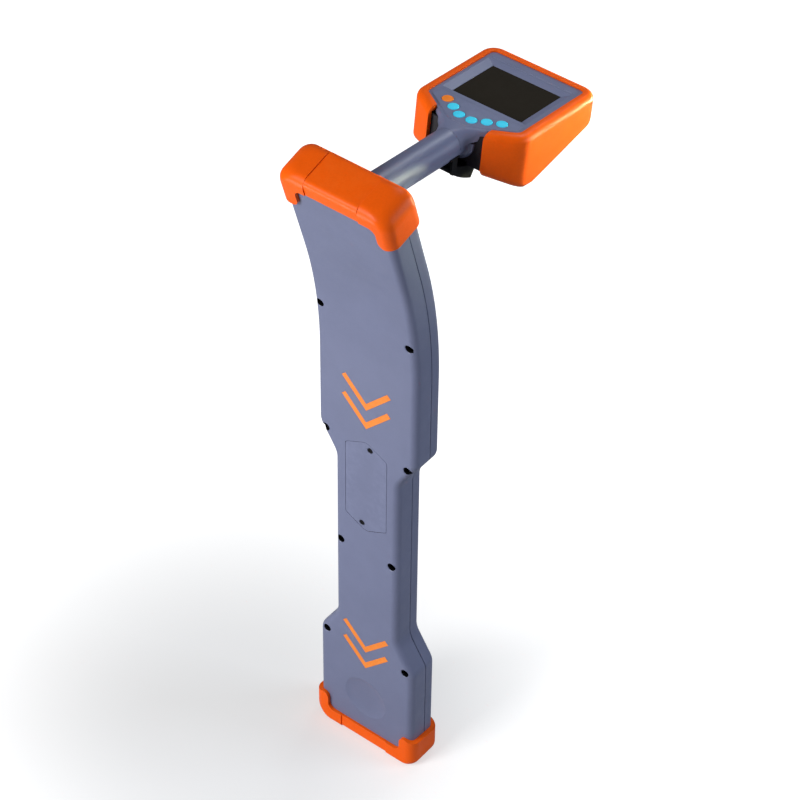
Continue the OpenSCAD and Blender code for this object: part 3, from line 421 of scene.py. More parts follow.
@dataclass(frozen=True)
class Finish:
    """One surface: its colour, texture and wear, built as procedural nodes."""

    name: str
    color: tuple[float, float, float]
    rough: float = 0.5
    metal: float = 0.0
    specular: float = 0.5
    variation: float = 0.06
    patches: float = 22.0
    grain: float = 1800.0
    bump: float = 0.06
    wear: float = 0.25
    wear_lift: float = 1.35
    edge: float = 0.35

    def build(self) -> bpy.types.Material:
        """Make the material.

        Returns:
            The material with its node tree.
        """
        material = bpy.data.materials.new(self.name)
        material.use_nodes = True
        tree = material.node_tree
        tree.nodes.clear()
        out = tree.nodes.new("ShaderNodeOutputMaterial")
        shader = tree.nodes.new("ShaderNodeBsdfPrincipled")
        tree.links.new(shader.outputs["BSDF"], out.inputs["Surface"])
        shader.inputs["Metallic"].default_value = self.metal
        shader.inputs["Specular IOR Level"].default_value = self.specular
        place = tree.nodes.new("ShaderNodeTexCoord").outputs["Object"]
        tree.links.new(self._color(tree, place), shader.inputs["Base Color"])
        tree.links.new(self._roughness(tree, place), shader.inputs["Roughness"])
        tree.links.new(self._normal(tree, place), shader.inputs["Normal"])
        return material

    def _color(self, tree: Tree, place: Socket) -> Socket:
        """Colour with soft patches, fine specks and worn edges.

        Args:
            tree: The node tree.
            place: Texture coordinates.

        Returns:
            The colour socket.
        """
        much, little = self.variation, self.variation * 0.5
        patches = add_noise(tree, place, self.patches, 4.0)
        patches = remap(tree, patches, NOISE, (1 - much, 1 + much))
        specks = add_noise(tree, place, self.grain * 0.6, 2.0)
        specks = remap(tree, specks, NOISE, (1 - little, 1 + little))
        tint = tree.nodes.new("ShaderNodeVectorMath")
        tint.operation = "SCALE"
        tint.inputs[0].default_value = self.color
        tree.links.new(multiply(tree, patches, specks), tint.inputs["Scale"])
        shape = tree.nodes.new("ShaderNodeNewGeometry")
        edge = remap(tree, shape.outputs["Pointiness"], (0.52, 0.6), (0.0, self.wear))
        broken = remap(tree, add_noise(tree, place, 160.0, 5.0), (0.4, 0.65), (0.0, 1.0))
        worn = tuple(min(1.0, c * self.wear_lift + 0.02) for c in self.color)
        mix = tree.nodes.new("ShaderNodeMix")
        mix.data_type = "RGBA"
        mix.inputs[7].default_value = (*worn, 1.0)
        tree.links.new(multiply(tree, edge, broken), mix.inputs[0])
        tree.links.new(tint.outputs["Vector"], mix.inputs[6])
        return mix.outputs[2]

    def _roughness(self, tree: Tree, place: Socket) -> Socket:
        """Roughness that varies a little over the surface."""
        low, high = max(0.02, self.rough - 0.06), min(1.0, self.rough + 0.06)
        return remap(tree, add_noise(tree, place, 70.0, 5.0), NOISE, (low, high))

    def _normal(self, tree: Tree, place: Socket) -> Socket:
        """Fine grain over edges softened by a bevel.

        Args:
            tree: The node tree.
            place: Texture coordinates.

        Returns:
            The normal socket.
        """
        bevel = tree.nodes.new("ShaderNodeBevel")
        bevel.samples = 6
        bevel.inputs["Radius"].default_value = self.edge * MM
        bump = tree.nodes.new("ShaderNodeBump")
        bump.inputs["Strength"].default_value = self.bump
        bump.inputs["Distance"].default_value = 0.0002
        tree.links.new(add_noise(tree, place, self.grain, 3.0), bump.inputs["Height"])
        tree.links.new(bevel.outputs["Normal"], bump.inputs["Normal"])
        return bump.outputs["Normal"]


FINISHES: dict[str, Finish] = {
    f.name: f
    for f in (
        Finish("shell", (0.158, 0.177, 0.292), rough=0.38, variation=0.05, grain=1600.0, bump=0.1, wear=0.3),
        Finish(
            "orange_rubber",
            (0.97, 0.118, 0.002),
            rough=0.36,
            specular=0.16,
            variation=0.05,
            grain=900.0,
            bump=0.05,
            wear=0.2,
        ),
        # near-black; on the head housing it is also painted shade of the front wall
        Finish("charcoal", (0.016, 0.014, 0.018), rough=0.55, bump=0.12, specular=0.2),
        Finish("black_plastic", (0.004, 0.004, 0.005), rough=0.6, bump=0.1, specular=0.12),
        Finish("black_rubber", (0.012, 0.012, 0.016), rough=0.7, bump=0.1),
        Finish("dark_steel", (0.03, 0.03, 0.033), rough=0.35, metal=0.9, grain=2600.0, wear=0.5),
        Finish("steel", (0.55, 0.55, 0.57), rough=0.3, metal=1.0, grain=2600.0),
        Finish("chevron", (0.95, 0.24, 0.02), rough=0.4, bump=0.04),
        Finish(
            "window", (0.02, 0.016, 0.011), rough=0.15, specular=0.12, variation=0.03, bump=0.004, wear=0.05
        ),
        Finish("cyan_key", (0.05, 0.72, 1.0), rough=0.5, bump=0.03, grain=1200.0, specular=0.3),
        Finish("orange_key", (1.0, 0.24, 0.01), rough=0.5, bump=0.03, grain=1200.0, specular=0.3),
        Finish("clear_rubber", (0.7, 0.7, 0.68), rough=0.5),
        Finish("ferrite", (0.03, 0.03, 0.032), rough=0.7, bump=0.3),
        Finish("copper", (0.45, 0.14, 0.05), rough=0.35, metal=0.8, bump=0.3),
        Finish("nickel", (0.6, 0.57, 0.5), rough=0.3, metal=1.0),
        Finish("cell", (0.02, 0.07, 0.2), rough=0.35),
        Finish("board", (0.01, 0.09, 0.03), rough=0.35),
        Finish("chips", (0.01, 0.01, 0.01), rough=0.45),
        Finish("lcd", (0.06, 0.065, 0.06), rough=0.25),
        Finish("cable", (0.012, 0.012, 0.012), rough=0.6),
        Finish("ribbon", (0.25, 0.25, 0.27), rough=0.5),
    )
}


class Paint:
    """Makes each finish once and puts it on objects."""

    def __init__(self) -> None:
        """Start with no materials made."""
        self._made: dict[str, bpy.types.Material] = {}

    def on(self, obj: bpy.types.Object, name: str) -> bpy.types.Object:
        """Give an object one finish.

        Args:
            obj: The object.
            name: Name of the finish.

        Returns:
            The same object.
        """
        obj.data.materials.clear()
        obj.data.materials.append(self.get(name))
        return obj

    def get(self, name: str) -> bpy.types.Material:
        """Material of a finish, made at its first use.

        Args:
            name: Name of the finish.

        Returns:
            The material.
        """
        if name not in self._made:
            self._made[name] = FINISHES[name].build()
        return self._made[name]


def dress(
    obj: bpy.types.Object, paint: Paint, finish: str, body: str, nodes: Sequence[str], angle: float = 30.0
) -> bpy.types.Object:
    """Finish a piece and let it ride on its body in place of CAD nodes.

    Args:
        obj: The piece.
        paint: Gives the finishes.
        finish: Name of the finish, which is also the material slot.
        body: The body that carries the piece.
        nodes: CAD nodes that it stands for.
        angle: Smallest angle of a sharp edge, in degrees.

    Returns:
        The same object.
    """
    soften(obj, angle)
    paint.on(obj, finish)
    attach(obj, body)
    if nodes:
        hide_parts(*nodes)
    return obj


# The blade


@dataclass
class Blade:
    """The two shells: a waisted blade, straight below and curved above."""

    lower_w: float = 111.4
    mid_w: float = 72.4
    upper_w: float = 109.6
    front: float = 20.8
    back: float = 14.5
    edge: float = 7.0
    wall: float = 3.0
    gap: float = 0.6
    lip: float = 0.4
    fit: float = 0.1
    length: float = 711.0
    arc_start: float = 478.0
    arc_r: float = 465.0
    lean: float = 16.5
    lower_shoulder: float = 121.0
    upper_shoulder: float = 355.0
    slope: float = 32.0
    convex: float = 14.0
    concave: float = 25.0
    boot_wall: float = 3.4
    end_r: float = 14.6
    dimple_r: float = 24.3
    dimple_deep: float = 2.0
    dimple_power: float = 3.5
    dimple_z: float = 58.5
    recess: float = 4.1
    chamfer: float = 0.5
    # depth below the front face from which recess walls get painted shade
    shade_skin: float = 0.3

    @property
    def arc_end(self) -> float:
        """Distance along the seam where the curve ends."""
        return self.arc_start + self.arc_r * math.radians(self.lean)

    def angle(self, u: float) -> float:
        """Lean of the blade at a distance along the seam."""
        share = (u - self.arc_start) / (self.arc_end - self.arc_start)
        return max(0.0, min(1.0, share)) * self.lean

    def spot(self, u: float, x: float = 0.0, off: float = 0.0) -> Vector:
        """Point at a distance along the seam.

        Args:
            u: Distance from the foot in millimetres.
            x: Distance from the middle plane.
            off: Distance behind the seam, along the local normal.

        Returns:
            The point in millimetres.
        """
        a = self.angle(u)
        past = max(u - self.arc_end, 0.0)
        y = -self.arc_r * (1 - cosd(a)) - past * sind(self.lean)
        z = min(u, self.arc_start) + self.arc_r * sind(a) + past * cosd(self.lean)
        return Vector((x, y + off * cosd(a), z + off * sind(a)))

    def place(self, u: float, x: float = 0.0, off: float = 0.0) -> Matrix:
        """Placement at a distance along the seam, its Z pointing out of the front face."""
        turn = Matrix.Rotation(math.radians(self.angle(u) + 90), 4, "X")
        return Matrix.Translation(self.spot(u, x, off) * MM) @ turn

    def shoulder(self, drop: float) -> float:
        """Length along the seam of the slope between two widths.

        Args:
            drop: Difference of the half widths.

        Returns:
            The length in millimetres, with both roundings.
        """
        reach = self.convex + self.concave
        straight = (drop - reach * (1 - cosd(self.slope))) / math.tan(math.radians(self.slope))
        return straight + reach * sind(self.slope)

    def outline(self, inset: float) -> list[Point]:
        """Distances along the seam and half widths.

        Args:
            inset: How far inside the outer face.

        Returns:
            Pairs of distance and half width, from the foot up.
        """
        rc, rv, re = self.convex - inset, self.concave + inset, self.end_r - inset
        wl, wm, wu = (w / 2 - inset for w in (self.lower_w, self.mid_w, self.upper_w))
        low = self.boot_wall + self.fit + inset
        high = self.length - self.boot_wall - self.fit - inset
        start, up = self.lower_shoulder, self.upper_shoulder
        waist = start + self.shoulder((self.lower_w - self.mid_w) / 2)
        wide = up + self.shoulder((self.upper_w - self.mid_w) / 2)
        outer, inner = FINE // 2, FINE * 3 // 4
        points = [(low + re - re * sind(a), wl - re + re * cosd(a)) for a in sweep(90, 0, FINE)]
        points += [(u, wl) for u in sweep(low + re, start, 8)[1:-1]]
        points += [(start + rc * sind(a), wl - rc * (1 - cosd(a))) for a in sweep(0, self.slope, outer)]
        points += [(waist - rv * sind(a), wm + rv * (1 - cosd(a))) for a in sweep(self.slope, 0, inner)]
        points += [(u, wm) for u in sweep(waist, up, 10)[1:-1]]
        points += [(up + rv * sind(a), wm + rv * (1 - cosd(a))) for a in sweep(0, self.slope, inner)]
        points += [(wide - rc * sind(a), wu - rc * (1 - cosd(a))) for a in sweep(self.slope, 0, outer)]
        points += [(u, wu) for u in sweep(wide, self.arc_start, 6)[1:-1]]
        points += [(u, wu) for u in sweep(self.arc_start, self.arc_end, FINE * 5 // 2)]
        points += [(u, wu) for u in sweep(self.arc_end, high - re, 5)[1:-1]]
        points += [(high - re + re * sind(a), wu - re + re * cosd(a)) for a in sweep(0, 90, FINE)]
        return points

    def half(self, side: Side, inset: float, near: float, lip: float = 0.0) -> bpy.types.Object:
        """One half of the blade as a solid form.

        Args:
            side: Which half.
            inset: How far inside the outer face.
            near: Distance from the seam to the form's flat face.
            lip: Rounding of the edge at the seam.

        Returns:
            The lofted form.
        """
        depth = (self.front if side is Side.FRONT else self.back) - inset
        r = self.edge - inset
        s = side.value
        rows = []
        turns = sweep(0, 90, 3) if lip else [90]
        for u, w in self.outline(inset):
            flat = [(w - lip * (1 - sind(a)), s * (near + lip * (1 - cosd(a)))) for a in turns]
            flat += [(w, s * (near + (depth - r - near) * t)) for t in (0.35, 0.7)]
            flat += [(x, s * off) for x, off in arc(w - r, depth - r, r, 0, 90, 10)]
            flat += [((w - r) * t, s * depth) for t in (0.8, 0.55, 0.3, 0.1)]
            rows.append([self.spot(u, x, off) for x, off in mirrored(flat)])
        return loft(f"{side.name.lower()}_form", rows)

    def screw_places(self) -> list[Point]:
        """Places of the case screws.

        Returns:
            Pairs of distance along the seam and signed distance from the middle.
        """
        rows = (
            (125.8, self.lower_w, 9.1),
            (256.8, self.mid_w, 6.9),
            (386.8, self.upper_w, 9.1),
            (534.6, self.upper_w, 6.8),
        )
        return [(u, s * (width / 2 - from_edge)) for u, width, from_edge in rows for s in (-1, 1)]

    def recess_cutter(self, u: float, x: float) -> bpy.types.Object:
        """Cutter for one screw recess with a small chamfer.

        Args:
            u: Distance along the seam.
            x: Distance from the middle.

        Returns:
            The cutter.
        """
        r, bore = self.recess, 1.6
        floor = self.gap / 2 + self.wall
        profile = [(bore, 1.0), (bore, floor), (r, floor), (r, self.front - self.chamfer)]
        profile += [(r + self.chamfer, self.front), (r + 3, self.front + 3)]
        return lathe("recess", profile, self.place(u, x), 40)

    def dimple(self) -> bpy.types.Object:
        """Cutter for the round dish near the foot.

        Returns:
            The cutter.
        """
        rings = [(self.dimple_r * t, self.dimple_deep * t**self.dimple_power) for t in sweep(0, 1.2, 36)]
        floor = Matrix.Translation(Vector((0, -self.front + self.dimple_deep, self.dimple_z)) * MM)
        return lathe("dimple", rings, floor @ Matrix.Rotation(math.radians(90), 4, "X"), 128)

    def build(self, paint: Paint) -> list[bpy.types.Object]:
        """Build both shells with their cut-outs.

        Args:
            paint: Gives the finishes.

        Returns:
            The front and the back shell.
        """
        front = self.half(Side.FRONT, 0.0, self.gap / 2, self.lip)
        tools = [self.half(Side.FRONT, self.wall, -OVER)]
        tools += [self.recess_cutter(u, x) for u, x in self.screw_places()]
        tools += BatteryCover(self).cutters()
        chevrons = Chevrons(self)
        tools += [chevrons.form(z, chevrons.fit, 0.05) for z in chevrons.UPPER + chevrons.LOWER]
        tools.append(self.dimple())
        combine(front, tools, "DIFFERENCE")
        back = self.half(Side.BACK, 0.0, self.gap / 2, self.lip)
        combine(back, [self.half(Side.BACK, self.wall, -OVER)], "DIFFERENCE")
        combine(back, [Handle().collar(self)], "UNION")
        combine(back, [Handle().bore()], "DIFFERENCE")
        made = []
        for obj, node in ((front, "front_shell"), (back, "back_shell")):
            obj.name = node + "_look"
            made.append(dress(obj, paint, "shell", "locator", [node], 14.0))
        # painted shade: black inner walls in the screw recesses and round the battery cover
        self._paint_recess_shade(front, paint)
        return made

    def _paint_recess_shade(self, shell: bpy.types.Object, paint: Paint) -> None:
        """Paint shade into the deep screw recesses and the cover's seat: their inner walls, grey shell, take
        the black finish.

        Args:
            shell: The front shell.
            paint: Gives the finishes.
        """
        # this black slot is painted shade inside the recesses and the cover's gap
        shell.data.materials.append(paint.get("black_plastic"))
        cover = BatteryCover(self)
        reach_x, reach_y = cover.half_w + OVER, cover.side / 2 + cover.peak + OVER
        reach, depth = self.recess + 0.05, self.front - self.shade_skin
        seat = self.place(cover.middle).inverted()
        holes = [self.place(u, x).inverted() for u, x in self.screw_places()]
        for face in shell.data.polygons:
            spots = [hole @ face.center / MM for hole in holes]
            in_hole = any(math.hypot(p.x, p.y) < reach and p.z < depth for p in spots)
            spot = seat @ face.center / MM
            in_seat = abs(spot.x) < reach_x and abs(spot.y) < reach_y and spot.z < depth
            if in_hole or in_seat:
                face.material_index = 1


@dataclass
class BatteryCover:
    """The long flush cover with pointed, rounded ends."""

    blade: Blade
    half_w: float = 23.1
    low: float = 297.0
    side: float = 86.0
    thick: float = 2.4
    gap: float = 0.35
    corner: float = 3.0
    peak: float = 11.8
    blunt: float = 9.0
    opening: float = 2.5
    screw_x: float = 4.5
    screw_reach: float = 47.0
    screw_r: float = 3.0
    screw_deep: float = 1.4
    chamfer: float = 0.3

    @property
    def middle(self) -> float:
        """Height of the middle of the cover."""
        return self.low + self.side / 2

    def points(self, grow: float) -> list[Point]:
        """Outline of the cover about its middle.

        Args:
            grow: How far the outline is grown.

        Returns:
            The corners, in millimetres.
        """
        slope = math.degrees(math.atan2(self.peak, self.half_w))
        reach = self.half_w * sind(slope) + self.side / 2 * cosd(slope)
        inner = self.half_w - self.corner
        yk = (reach - self.corner - inner * sind(slope)) / cosd(slope)
        yp = (reach - self.blunt) / cosd(slope)
        rc, rp = self.corner + grow, self.blunt + grow
        quarter = arc(inner, yk, rc, 0, 90 - slope, 6) + arc(0, yp, rp, 90 - slope, 90, 8)
        top = quarter + [(-x, y) for x, y in reversed(quarter[:-1])]
        return top + [(-x, -y) for x, y in top]

    def plate(self, grow: float, off0: float, off1: float) -> bpy.types.Object:
        """Plate with the cover's outline."""
        return prism("cover", self.points(grow), -off1, -off0, self.blade.place(self.middle))

    def screws(self) -> list[Point]:
        """Places of the two screws."""
        return [(self.middle + s * self.screw_reach, s * self.screw_x) for s in (-1, 1)]

    def cutters(self) -> list[bpy.types.Object]:
        """Cutters for the cover's seat in the front shell.

        Returns:
            The seat and the opening behind it.
        """
        front = -self.blade.front
        seat = self.plate(self.gap, front - OVER, front + self.thick + self.blade.fit)
        return [seat, self.plate(-self.opening, front, 0)]

    def build(self, paint: Paint) -> bpy.types.Object:
        """Build the cover.

        Args:
            paint: Gives the finishes.

        Returns:
            The cover.
        """
        front, r, c = self.blade.front, self.screw_r, self.chamfer
        cover = self.plate(0.0, -front, self.thick - front)
        profile = [(r, front - self.screw_deep), (r, front - c), (r + 2 * c, front + c)]
        holes = [lathe("hole", profile, self.blade.place(z, x), 40) for z, x in self.screws()]
        combine(cover, holes, "DIFFERENCE")
        cover.name = "battery_cover_look"
        return dress(cover, paint, "shell", "locator", ["battery_cover"])


@dataclass
class Chevrons:
    """Plain chevron inlays, two above and two below."""

    blade: Blade
    arm: float = 33.0
    thick: float = 5.6
    slope: float = 46.0
    deep: float = 0.6
    fit: float = 0.12
    UPPER = (440.5, 418.7)
    LOWER = (131.0, 109.1)

    def form(self, z: float, grow: float, raise_by: float) -> bpy.types.Object:
        """One chevron.

        Args:
            z: Height of its inner tip.
            grow: How far it is grown all round.
            raise_by: How far it stands out of the front face.

        Returns:
            The chevron.
        """
        stroke = self.thick / cosd(self.slope) + grow
        t = self.thick + 2 * grow * cosd(self.slope)
        arm = self.arm + grow
        end = (arm * cosd(self.slope), arm * sind(self.slope) + grow)
        low = (end[0] + t * sind(self.slope), end[1] - t * cosd(self.slope))
        outline = [(0, grow), end, low, (0, -stroke), (-low[0], low[1]), (-end[0], end[1])]
        front = self.blade.front
        return prism("chevron", outline, front - self.deep - grow, front + raise_by, self.blade.place(z))

    def build(self, paint: Paint) -> None:
        """Build all four inlays.

        Args:
            paint: Gives the finishes.
        """
        for name, heights in (("upper_chevrons", self.UPPER), ("lower_chevrons", self.LOWER)):
            pair = [self.form(z, 0.0, 0.0) for z in heights]
            combine(pair[0], pair[1:], "UNION")
            pair[0].name = name + "_look"
            dress(pair[0], paint, "chevron", "locator", [name])


@dataclass
class Boot:
    """A rubber boot on one end of the blade."""

    blade: Blade
    node: str
    width: float
    edge: float
    top: bool
    wall: float = 3.4
    leg: float = 38.0
    leg_fall: tuple[float, float] = (0.0, 0.0)
    swell: float = 0.0
    strip: float = 16.5
    window_left: float = 43.5
    window_right: float = 43.5
    window_r: float = 7.0
    groove: float = 0.35
    band: float = 27.6
    step: float = 1.0
    band_edge: float = 6.0
    corner_left: float = 17.0
    corner_right: float = 17.0
    fall_width: float = 10.0
    fall_edge: float = 2.0

    def depths(self, h: float, edge: float, less: float, end_less: float) -> tuple[float, float]:
        """Depth of the front and back faces at a height, drawn in near the end face.

        Args:
            h: Height above the end face.
            edge: Rounding at the end face.
            less: How far inside the outer face.
            end_less: How far inside the end face.

        Returns:
            Depths of the front and the back, from the seam.
        """
        rise = max(h - end_less, 0.0)
        lift = edge - math.sqrt(max(edge**2 - max(edge - rise, 0.0) ** 2, 0.0))
        outer = self.wall - less - lift
        return self.blade.front + outer, self.blade.back + outer

    def spot(self, h: float, x: float, off: float) -> Vector:
        """Point of the boot in space."""
        return self.blade.spot(self.blade.length - h if self.top else h, x, off)

    def side_form(self, side: int) -> bpy.types.Object:
        """The thick part on one side of the middle band.

        Args:
            side: 1 for the right, -1 for the left.

        Returns:
            The solid form.
        """
        corner = self.corner_right if side > 0 else self.corner_left
        low, high = sorted((self.edge, corner))
        heights = [low * (1 - cosd(a)) for a in sweep(0, 90, 8)]
        heights += sweep(low, high, 8)[1:] + sweep(high, self.leg, 6)[1:]
        rows = []
        for h in heights:
            front, back = self.depths(h, self.edge, 0.0, 0.0)
            reach = corner - min(h, corner)
            w = self.width / 2 + self.wall + self.swell - corner + math.sqrt(corner**2 - reach**2)
            r = min(self.blade.edge + self.wall, (front + back) / 2.05)
            flat = [self.band + (w - r - self.band) * t for t in (0.0, 0.3, 0.7)]
            points = [(x, -front) for x in flat]
            points += arc(w - r, -front + r, r, -90, 0, 9) + arc(w - r, back - r, r, 0, 90, 9)
            points += [(x, back) for x in reversed(flat)]
            share = max(h - high, 0.0) / (self.leg - high)
            falls = [self._fall(x, w, (off + front) / (front + back)) * share for x, off in points]
            rows.append([self.spot(h - fall, side * x, off) for (x, off), fall in zip(points, falls)])
        return loft("boot_side", rows)

    def _fall(self, x: float, w: float, far: float) -> float:
        """How far the leg's end drops at one place."""
        t = min(max((x - w + self.fall_width + self.fall_edge) / self.fall_width, 0.0), 1.0)
        return self.leg_fall[0] * t * t * (3 - 2 * t) + self.leg_fall[1] * far

    def band_form(self) -> bpy.types.Object:
        """The thinner middle band.

        Returns:
            The solid form.
        """
        start = self.step if self.top else 0.0
        edge = min(self.edge, self.band_edge)
        half = self.band - self.groove
        heights = [start + edge * (1 - cosd(a)) for a in sweep(0, 90, 8)]
        heights += sweep(start + edge, self.strip, 3)[1:]
        rows = []
        for h in heights:
            front, back = self.depths(h, edge, self.step, start)
            rows.append([self.spot(h, x, off) for x, off in mirrored([(half, -front), (half, back)])])
        return loft("boot_band", rows)

    def cavity(self) -> bpy.types.Object:
        """The space that the shells take up inside the boot.

        Returns:
            The solid form.
        """
        rows = []
        for u, w in self.blade.outline(-self.blade.fit):
            keep = u > self.blade.arc_end - OVER if self.top else u < self.blade.lower_shoulder
            if keep:
                rows.append([self.blade.spot(u, x, off) for x, off in mirrored(self._shell_section(w))])
        return loft("cavity", rows)

    def window_points(self, side: int) -> list[Point]:
        """Opening between the legs, with flared upper ends.

        Args:
            side: 1 for the right leg's edge, -1 for the left leg's.

        Returns:
            The outline as distance from the middle and height.
        """
        r = self.window_r
        w = self.window_right if side > 0 else self.window_left
        edge = [(w - r + r * sind(a), self.strip + r - r * cosd(a)) for a in sweep(0, 90, 8)]
        edge += [(w + r - r * cosd(a), self.leg - r + r * sind(a)) for a in sweep(0, 90, 8)]
        return mirrored([*edge, (w + r, self.leg + 5 * OVER)])

    def build(self, paint: Paint) -> bpy.types.Object:
        """Build the boot.

        Args:
            paint: Gives the finishes.

        Returns:
            The boot.
        """
        place = self.blade.place(self.blade.length if self.top else 0)
        up = -1 if self.top else 1
        half_deep = 60.0
        forms = [combine(self.band_form(), [self.cavity()], "DIFFERENCE")]
        for side in (-1, 1):
            outline = [(x, up * y) for x, y in self.window_points(side)]
            window = prism("window", outline, -half_deep, half_deep, place)
            forms.append(combine(self.side_form(side), [window, self.cavity()], "DIFFERENCE"))
        outer = merge(forms)
        outer.name = self.node + "_look"
        return dress(outer, paint, "orange_rubber", "locator", [self.node], 35.0)

    def _shell_section(self, w: float) -> list[Point]:
        """Right half of the blade's section, grown by the fit.

        Args:
            w: Half width.

        Returns:
            Points from the front to the back.
        """
        fit = self.blade.fit
        r, front, back = (size + fit for size in (self.blade.edge, self.blade.front, self.blade.back))
        return arc(w - r, -front + r, r, -90, 0, 8) + arc(w - r, back - r, r, 0, 90, 8)


def lower_boot(blade: Blade) -> Boot:
    """Sizes of the lower boot, whose legs fall outwards.

    Args:
        blade: The blade that it fits.

    Returns:
        The boot.
    """
    return Boot(
        blade,
        "lower_boot",
        width=blade.lower_w,
        edge=4.0,
        top=False,
        leg=37.0,
        leg_fall=(3.5, 4.0),
        swell=1.5,
        corner_left=16.0,
        corner_right=9.0,
    )


def upper_boot(blade: Blade) -> Boot:
    """Sizes of the upper boot."""
    return Boot(blade, "upper_boot", width=blade.upper_w, edge=10.0, top=True, window_left=39.0)


# Handle and head


@dataclass
class Handle:
    """The round tube between the blade and the head."""

    head_z: float = 683.7
    tilt: float = 6.5
    drop: float = 15.5
    radius: float = 14.0
    inner: float = 8.4
    start: float = -36.9
    end: float = 102.9
    flare: float = 4.0
    rim: float = 2.0
    fit: float = 0.05
    collar_wall: float = 4.5
    collar_up: float = 3.0
    collar_r: float = 1.5
    collar_span: tuple[float, float] = (-30.0, 20.0)
    bore_span: tuple[float, float] = (-36.0, 40.0)
    flat_up: float = 1.4

    @property
    def frame(self) -> Matrix:
        """Frame of the head: Y along the handle, Z out of the panel."""
        middle = Matrix.Translation((0, 0, self.head_z * MM))
        return middle @ Matrix.Rotation(math.radians(-self.tilt), 4, "X")

    @property
    def axis(self) -> Matrix:
        """Placement on the tube axis, its Z along the tube."""
        middle = self.frame @ Matrix.Translation((0, 0, -self.drop * MM))
        return middle @ Matrix.Rotation(math.radians(-90), 4, "X")

    def collar(self, blade: Blade) -> bpy.types.Object:
        """The part of the socket that shows behind the back shell.

        Args:
            blade: The blade it stands on.

        Returns:
            The collar.
        """
        r = self.radius + self.collar_wall
        collar = lathe("collar", [(r, end) for end in self.collar_span], self.axis, ROUND)
        top = blade.back + self.collar_up
        place = blade.place(blade.arc_end + 60)
        behind = block("behind", Vector((-60, -80, -60)), Vector((60, 80, -top)), place)
        combine(collar, [behind], "DIFFERENCE")
        return round_edges(collar, self.collar_r, 4)

    def bore(self) -> bpy.types.Object:
        """Cutter for the tube's hole in the back shell."""
        r = self.radius + self.fit
        return lathe("bore", [(r, end) for end in self.bore_span], self.axis, ROUND)

    def build(self, paint: Paint) -> bpy.types.Object:
        """Build the tube with its flared end.

        Args:
            paint: Gives the finishes.

        Returns:
            The tube.
        """
        r, f = self.radius, self.flare
        foot = self.end - self.rim
        profile = [(self.inner, self.start), (r, self.start), (r, 20), (r, 60), (r, foot - f)]
        profile += [(r + f - f * cosd(a), foot - f + f * sind(a)) for a in sweep(0, 90, 8)[1:]]
        profile += [(r + f, self.end), (self.inner, self.end)]
        tube = lathe("handle_tube_look", profile, self.axis, ROUND)
        low, high = Vector((-30, self.end - 20, -self.drop + self.flat_up)), Vector((30, self.end + 2, 30))
        roof = block("roof", low, high, self.frame)
        keep = lathe("keep", [(r + 0.02, self.end - 24), (r + 0.02, self.end + 4)], self.axis, ROUND)
        combine(roof, [keep], "DIFFERENCE")
        combine(tube, [roof], "DIFFERENCE")
        return dress(tube, paint, "shell", "locator", ["handle_tube"])


